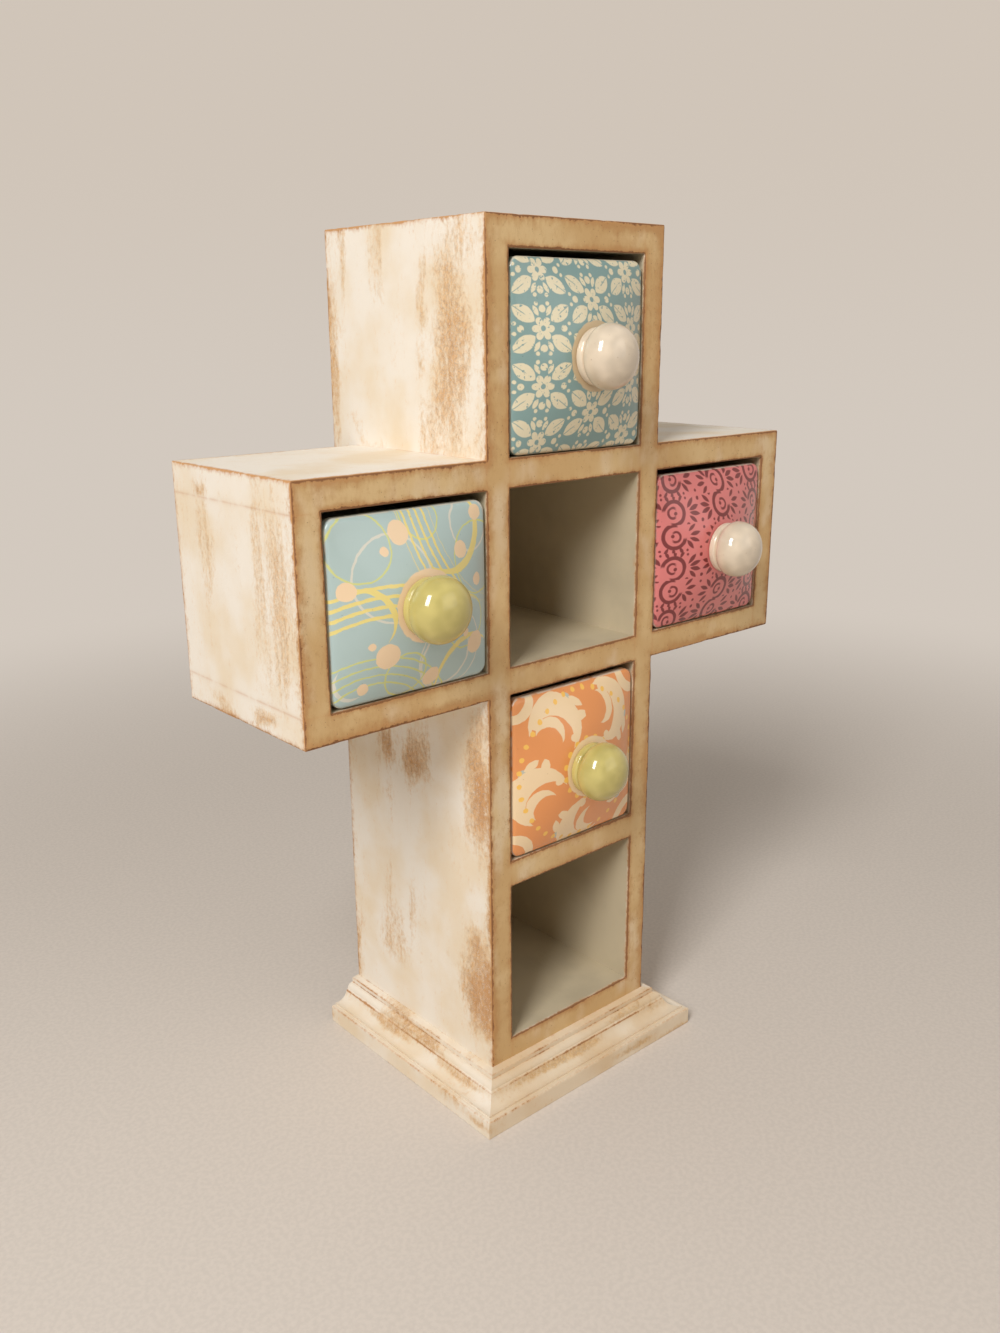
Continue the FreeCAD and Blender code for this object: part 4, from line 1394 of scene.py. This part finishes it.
def turned_metal(name, roughness, tint, tarnish):
    """Machined metal with fine rings of tool marks and patches of tarnish."""
    make = Finish(name)
    marks = make.noise(0.35, detail=2, stretch=(1, 6, 1))
    patches = make.noise(2.4, detail=3)
    metal = make.mix(make.ease(patches, 0.45, 0.70), tint, tarnish)
    scored = make.plus(roughness, make.times(marks, 0.18))
    return make.surface(metal, scored, marks, relief=0.03, Metallic=1.0)


def red_fibre():
    """Vulcanised fibre: dull red with short pale hairs."""
    make = Finish("red_fibre")
    hairs = make.noise(0.5, detail=3, rough=0.7, stretch=(4, 1, 1))
    red, pale_red = (0.28, 0.075, 0.045), (0.42, 0.17, 0.10)
    return make.surface(make.mix(make.ease(hairs, 0.52, 0.70), red, pale_red), 0.72, hairs, relief=0.05)


class TEAORGANIZER_OT_fixings(Operator):
    """Brass, steel and fibre on the fixings of the knobs"""
    bl_idname = "tea_organizer.fixings"
    bl_label = "Knob Fixings"

    def execute(self, context):
        brass = turned_metal("turned_brass", roughness=0.24, tint=(0.78, 0.56, 0.24),
                             tarnish=(0.42, 0.27, 0.11))
        zinc = turned_metal("zinc_plate", roughness=0.28, tint=(0.66, 0.66, 0.63),
                            tarnish=(0.42, 0.41, 0.36))
        fibre = red_fibre()
        for name in DRAWERS:
            dress_node(f"{name}_knob_sleeve", brass, "brass_sleeve")
            dress_node(f"{name}_knob_screw", zinc, "zinc_steel")
            dress_node(f"{name}_knob_washer", fibre, "fibre_washer")
        return {"FINISHED"}


# Stage

# The floor's flat radius, the radius of its bend and the height of the wall above, in metres
FLOOR_FLAT, FLOOR_BEND, FLOOR_WALL = 2.2, 0.9, 1.1
# Points round the floor
FLOOR_AROUND = 96
# How far out the floor starts to turn into an even glow, and where it has turned, in millimetres
GLOW_START, GLOW_FULL = 320.0, 1000.0
# What the lamps are turned to, and each lamp's place and its width and height, in metres
LAMP_TARGET = (0.0, 0.0, 0.2)
KEY_PLACE, KEY_SIZE = (-1.2, -0.6, 1.25), (0.45, 0.9)
FILL_PLACE, FILL_SIZE = (0.5, -1.5, 0.8), (1.2, 1.2)
# Colour of the light from all round
ROOM_LIGHT = (1.0, 0.97, 0.93, 1.0)
# Width of the camera's sensor, in millimetres
SENSOR_WIDTH = 36.0


def floor_finish(settings):
    """Pale floor near the object. Further out, and up the curved wall, what the camera and glossy surfaces
    see turns evenly into the backdrop's colour."""
    make = Finish("stage_floor")
    away = make.reach(make.x, make.y)
    grain = make.noise(2.0, detail=3)
    ground = make.mix(make.ease(grain, 0.35, 0.65), settings.floor, darkened(settings.floor, 0.94))
    matt = make.node("ShaderNodeBsdfDiffuse", ground).outputs[0]
    rise = make.ease(make.z, -50.0, 900.0)
    glow = make.node("ShaderNodeEmission", make.mix(rise, settings.floor, settings.backdrop), 0.93).outputs[0]
    path = make.node("ShaderNodeLightPath")
    seen = make.either(*[path.outputs[f"Is {kind} Ray"] for kind in ("Camera", "Glossy", "Transmission")])
    share = make.times(seen, make.ease(away, GLOW_START, GLOW_FULL))
    mixed = make.node("ShaderNodeMixShader", share, matt, glow).outputs[0]
    make.node("ShaderNodeOutputMaterial", mixed)
    return make.material


def stage_floor(settings):
    """Round floor that curves up into a wall: a profile of a straight, a quarter circle and a straight,
    turned about the upright axis."""
    turn = np.linspace(0, math.pi / 2, 16)
    flat = np.geomspace(0.02, FLOOR_FLAT, 24)
    profile = np.concatenate([
        np.stack([flat, 0 * flat], axis=1),
        np.stack([FLOOR_FLAT + FLOOR_BEND * np.sin(turn), FLOOR_BEND * (1 - np.cos(turn))], axis=1)[1:],
        [(FLOOR_FLAT + FLOOR_BEND, FLOOR_BEND + FLOOR_WALL)],
    ])
    angles = np.linspace(0, 2 * math.pi, FLOOR_AROUND, endpoint=False)
    radius, angle = np.meshgrid(profile[:, 0], angles, indexing="ij")
    level = np.broadcast_to(profile[:, 1:2], radius.shape)
    rings = np.stack([radius * np.cos(angle), radius * np.sin(angle), level], axis=-1).reshape(-1, 3)
    points = np.concatenate([rings, [(0, 0, 0)]])
    step = np.arange(FLOOR_AROUND)
    centre = np.stack([step, (step + 1) % FLOOR_AROUND, np.full(FLOOR_AROUND, len(rings))], axis=1)
    faces = [*ring_quads(len(profile), FLOOR_AROUND)[:, ::-1].tolist(), *centre.tolist()]
    floor = new_piece("stage_floor", points, faces, floor_finish(settings))
    floor.visible_shadow = False
    return floor


def add_lamp(name, power, size, place):
    """Upright soft box at a place, turned to the lamps' target."""
    light = bpy.data.lights.new(name, "AREA")
    light.energy = power
    light.shape = "RECTANGLE"
    light.size, light.size_y = size
    lamp = bpy.data.objects.new(name, light)
    lamp.location = place
    lamp.rotation_mode = "QUATERNION"
    lamp.rotation_quaternion = (Vector(LAMP_TARGET) - Vector(place)).to_track_quat("-Z", "Y")
    bpy.context.scene.collection.objects.link(lamp)


def add_camera(settings):
    """Camera at the eye: level, turned to its heading, dipped, then rolled about its line of sight."""
    heading, dip, roll = settings.heading, settings.dip, settings.roll
    ahead = Vector((math.sin(heading) * math.cos(dip), math.cos(heading) * math.cos(dip), -math.sin(dip)))
    level_right = Vector((math.cos(heading), -math.sin(heading), 0))
    level_up = level_right.cross(ahead)
    right = level_right * math.cos(roll) + level_up * math.sin(roll)
    up = level_up * math.cos(roll) - level_right * math.sin(roll)
    data = bpy.data.cameras.new("eye")
    data.sensor_width = SENSOR_WIDTH
    data.lens = SENSOR_WIDTH * settings.focal_share
    data.clip_start = 0.01
    camera = bpy.data.objects.new("eye", data)
    turn = Matrix((right, up, -ahead)).transposed()
    camera.matrix_world = Matrix.Translation(settings.eye) @ turn.to_4x4()
    bpy.context.scene.collection.objects.link(camera)
    bpy.context.scene.camera = camera


class TEAORGANIZER_OT_stage(Operator):
    """Camera, soft lamps, pale floor and the light from all round"""
    bl_idname = "tea_organizer.stage"
    bl_label = "Stage"

    def execute(self, context):
        settings = context.scene.tea_organizer.stage
        add_camera(settings)
        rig.stage(stage_floor(settings))
        add_lamp("key_lamp", settings.key_power, KEY_SIZE, KEY_PLACE)
        add_lamp("fill_lamp", settings.fill_power, FILL_SIZE, FILL_PLACE)
        world = bpy.data.worlds.new("studio")
        world.use_nodes = True
        light = world.node_tree.nodes["Background"].inputs
        light["Color"].default_value = ROOM_LIGHT
        light["Strength"].default_value = settings.ambient
        context.scene.world = world
        context.scene.view_settings.view_transform = "Standard"
        return {"FINISHED"}


class TEAORGANIZER_PT_panel(Panel):
    """Lists the organizer's parts and their sizes and colours"""
    bl_idname = "TEAORGANIZER_PT_panel"
    bl_label = "Tea Organizer"
    bl_space_type = "VIEW_3D"
    bl_region_type = "UI"
    bl_category = "Tea Organizer"

    def draw(self, context):
        settings = context.scene.tea_organizer
        for step in STEPS:
            box = self.layout.box()
            box.operator(f"tea_organizer.{step}")
            group = getattr(settings, step, None)
            for name in (group.bl_rna.properties.keys() if group else ()):
                if name not in ("rna_type", "name"):
                    box.prop(group, name)


CLASSES = (
    CarcassSettings, PlinthSettings, DrawerSettings, KnobSettings, StageSettings, OrganizerSettings,
    TEAORGANIZER_OT_carcass, TEAORGANIZER_OT_backs, TEAORGANIZER_OT_plinth, TEAORGANIZER_OT_drawers,
    TEAORGANIZER_OT_knobs, TEAORGANIZER_OT_fixings, TEAORGANIZER_OT_stage, TEAORGANIZER_PT_panel,
)


def register():
    for cls in CLASSES:
        bpy.utils.register_class(cls)
    bpy.types.Scene.tea_organizer = PointerProperty(type=OrganizerSettings)


def unregister():
    del bpy.types.Scene.tea_organizer
    for cls in reversed(CLASSES):
        bpy.utils.unregister_class(cls)


def main():
    register()
    for step in STEPS:
        getattr(bpy.ops.tea_organizer, step)()
    with open(SIZE_FILE, "w") as file:
        boxes = {"construction": construction_box, "dressed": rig.bounds()}
        json.dump({name: [list(corner) for corner in box] for name, box in boxes.items()}, file)


if __name__ == "__main__":
    main()
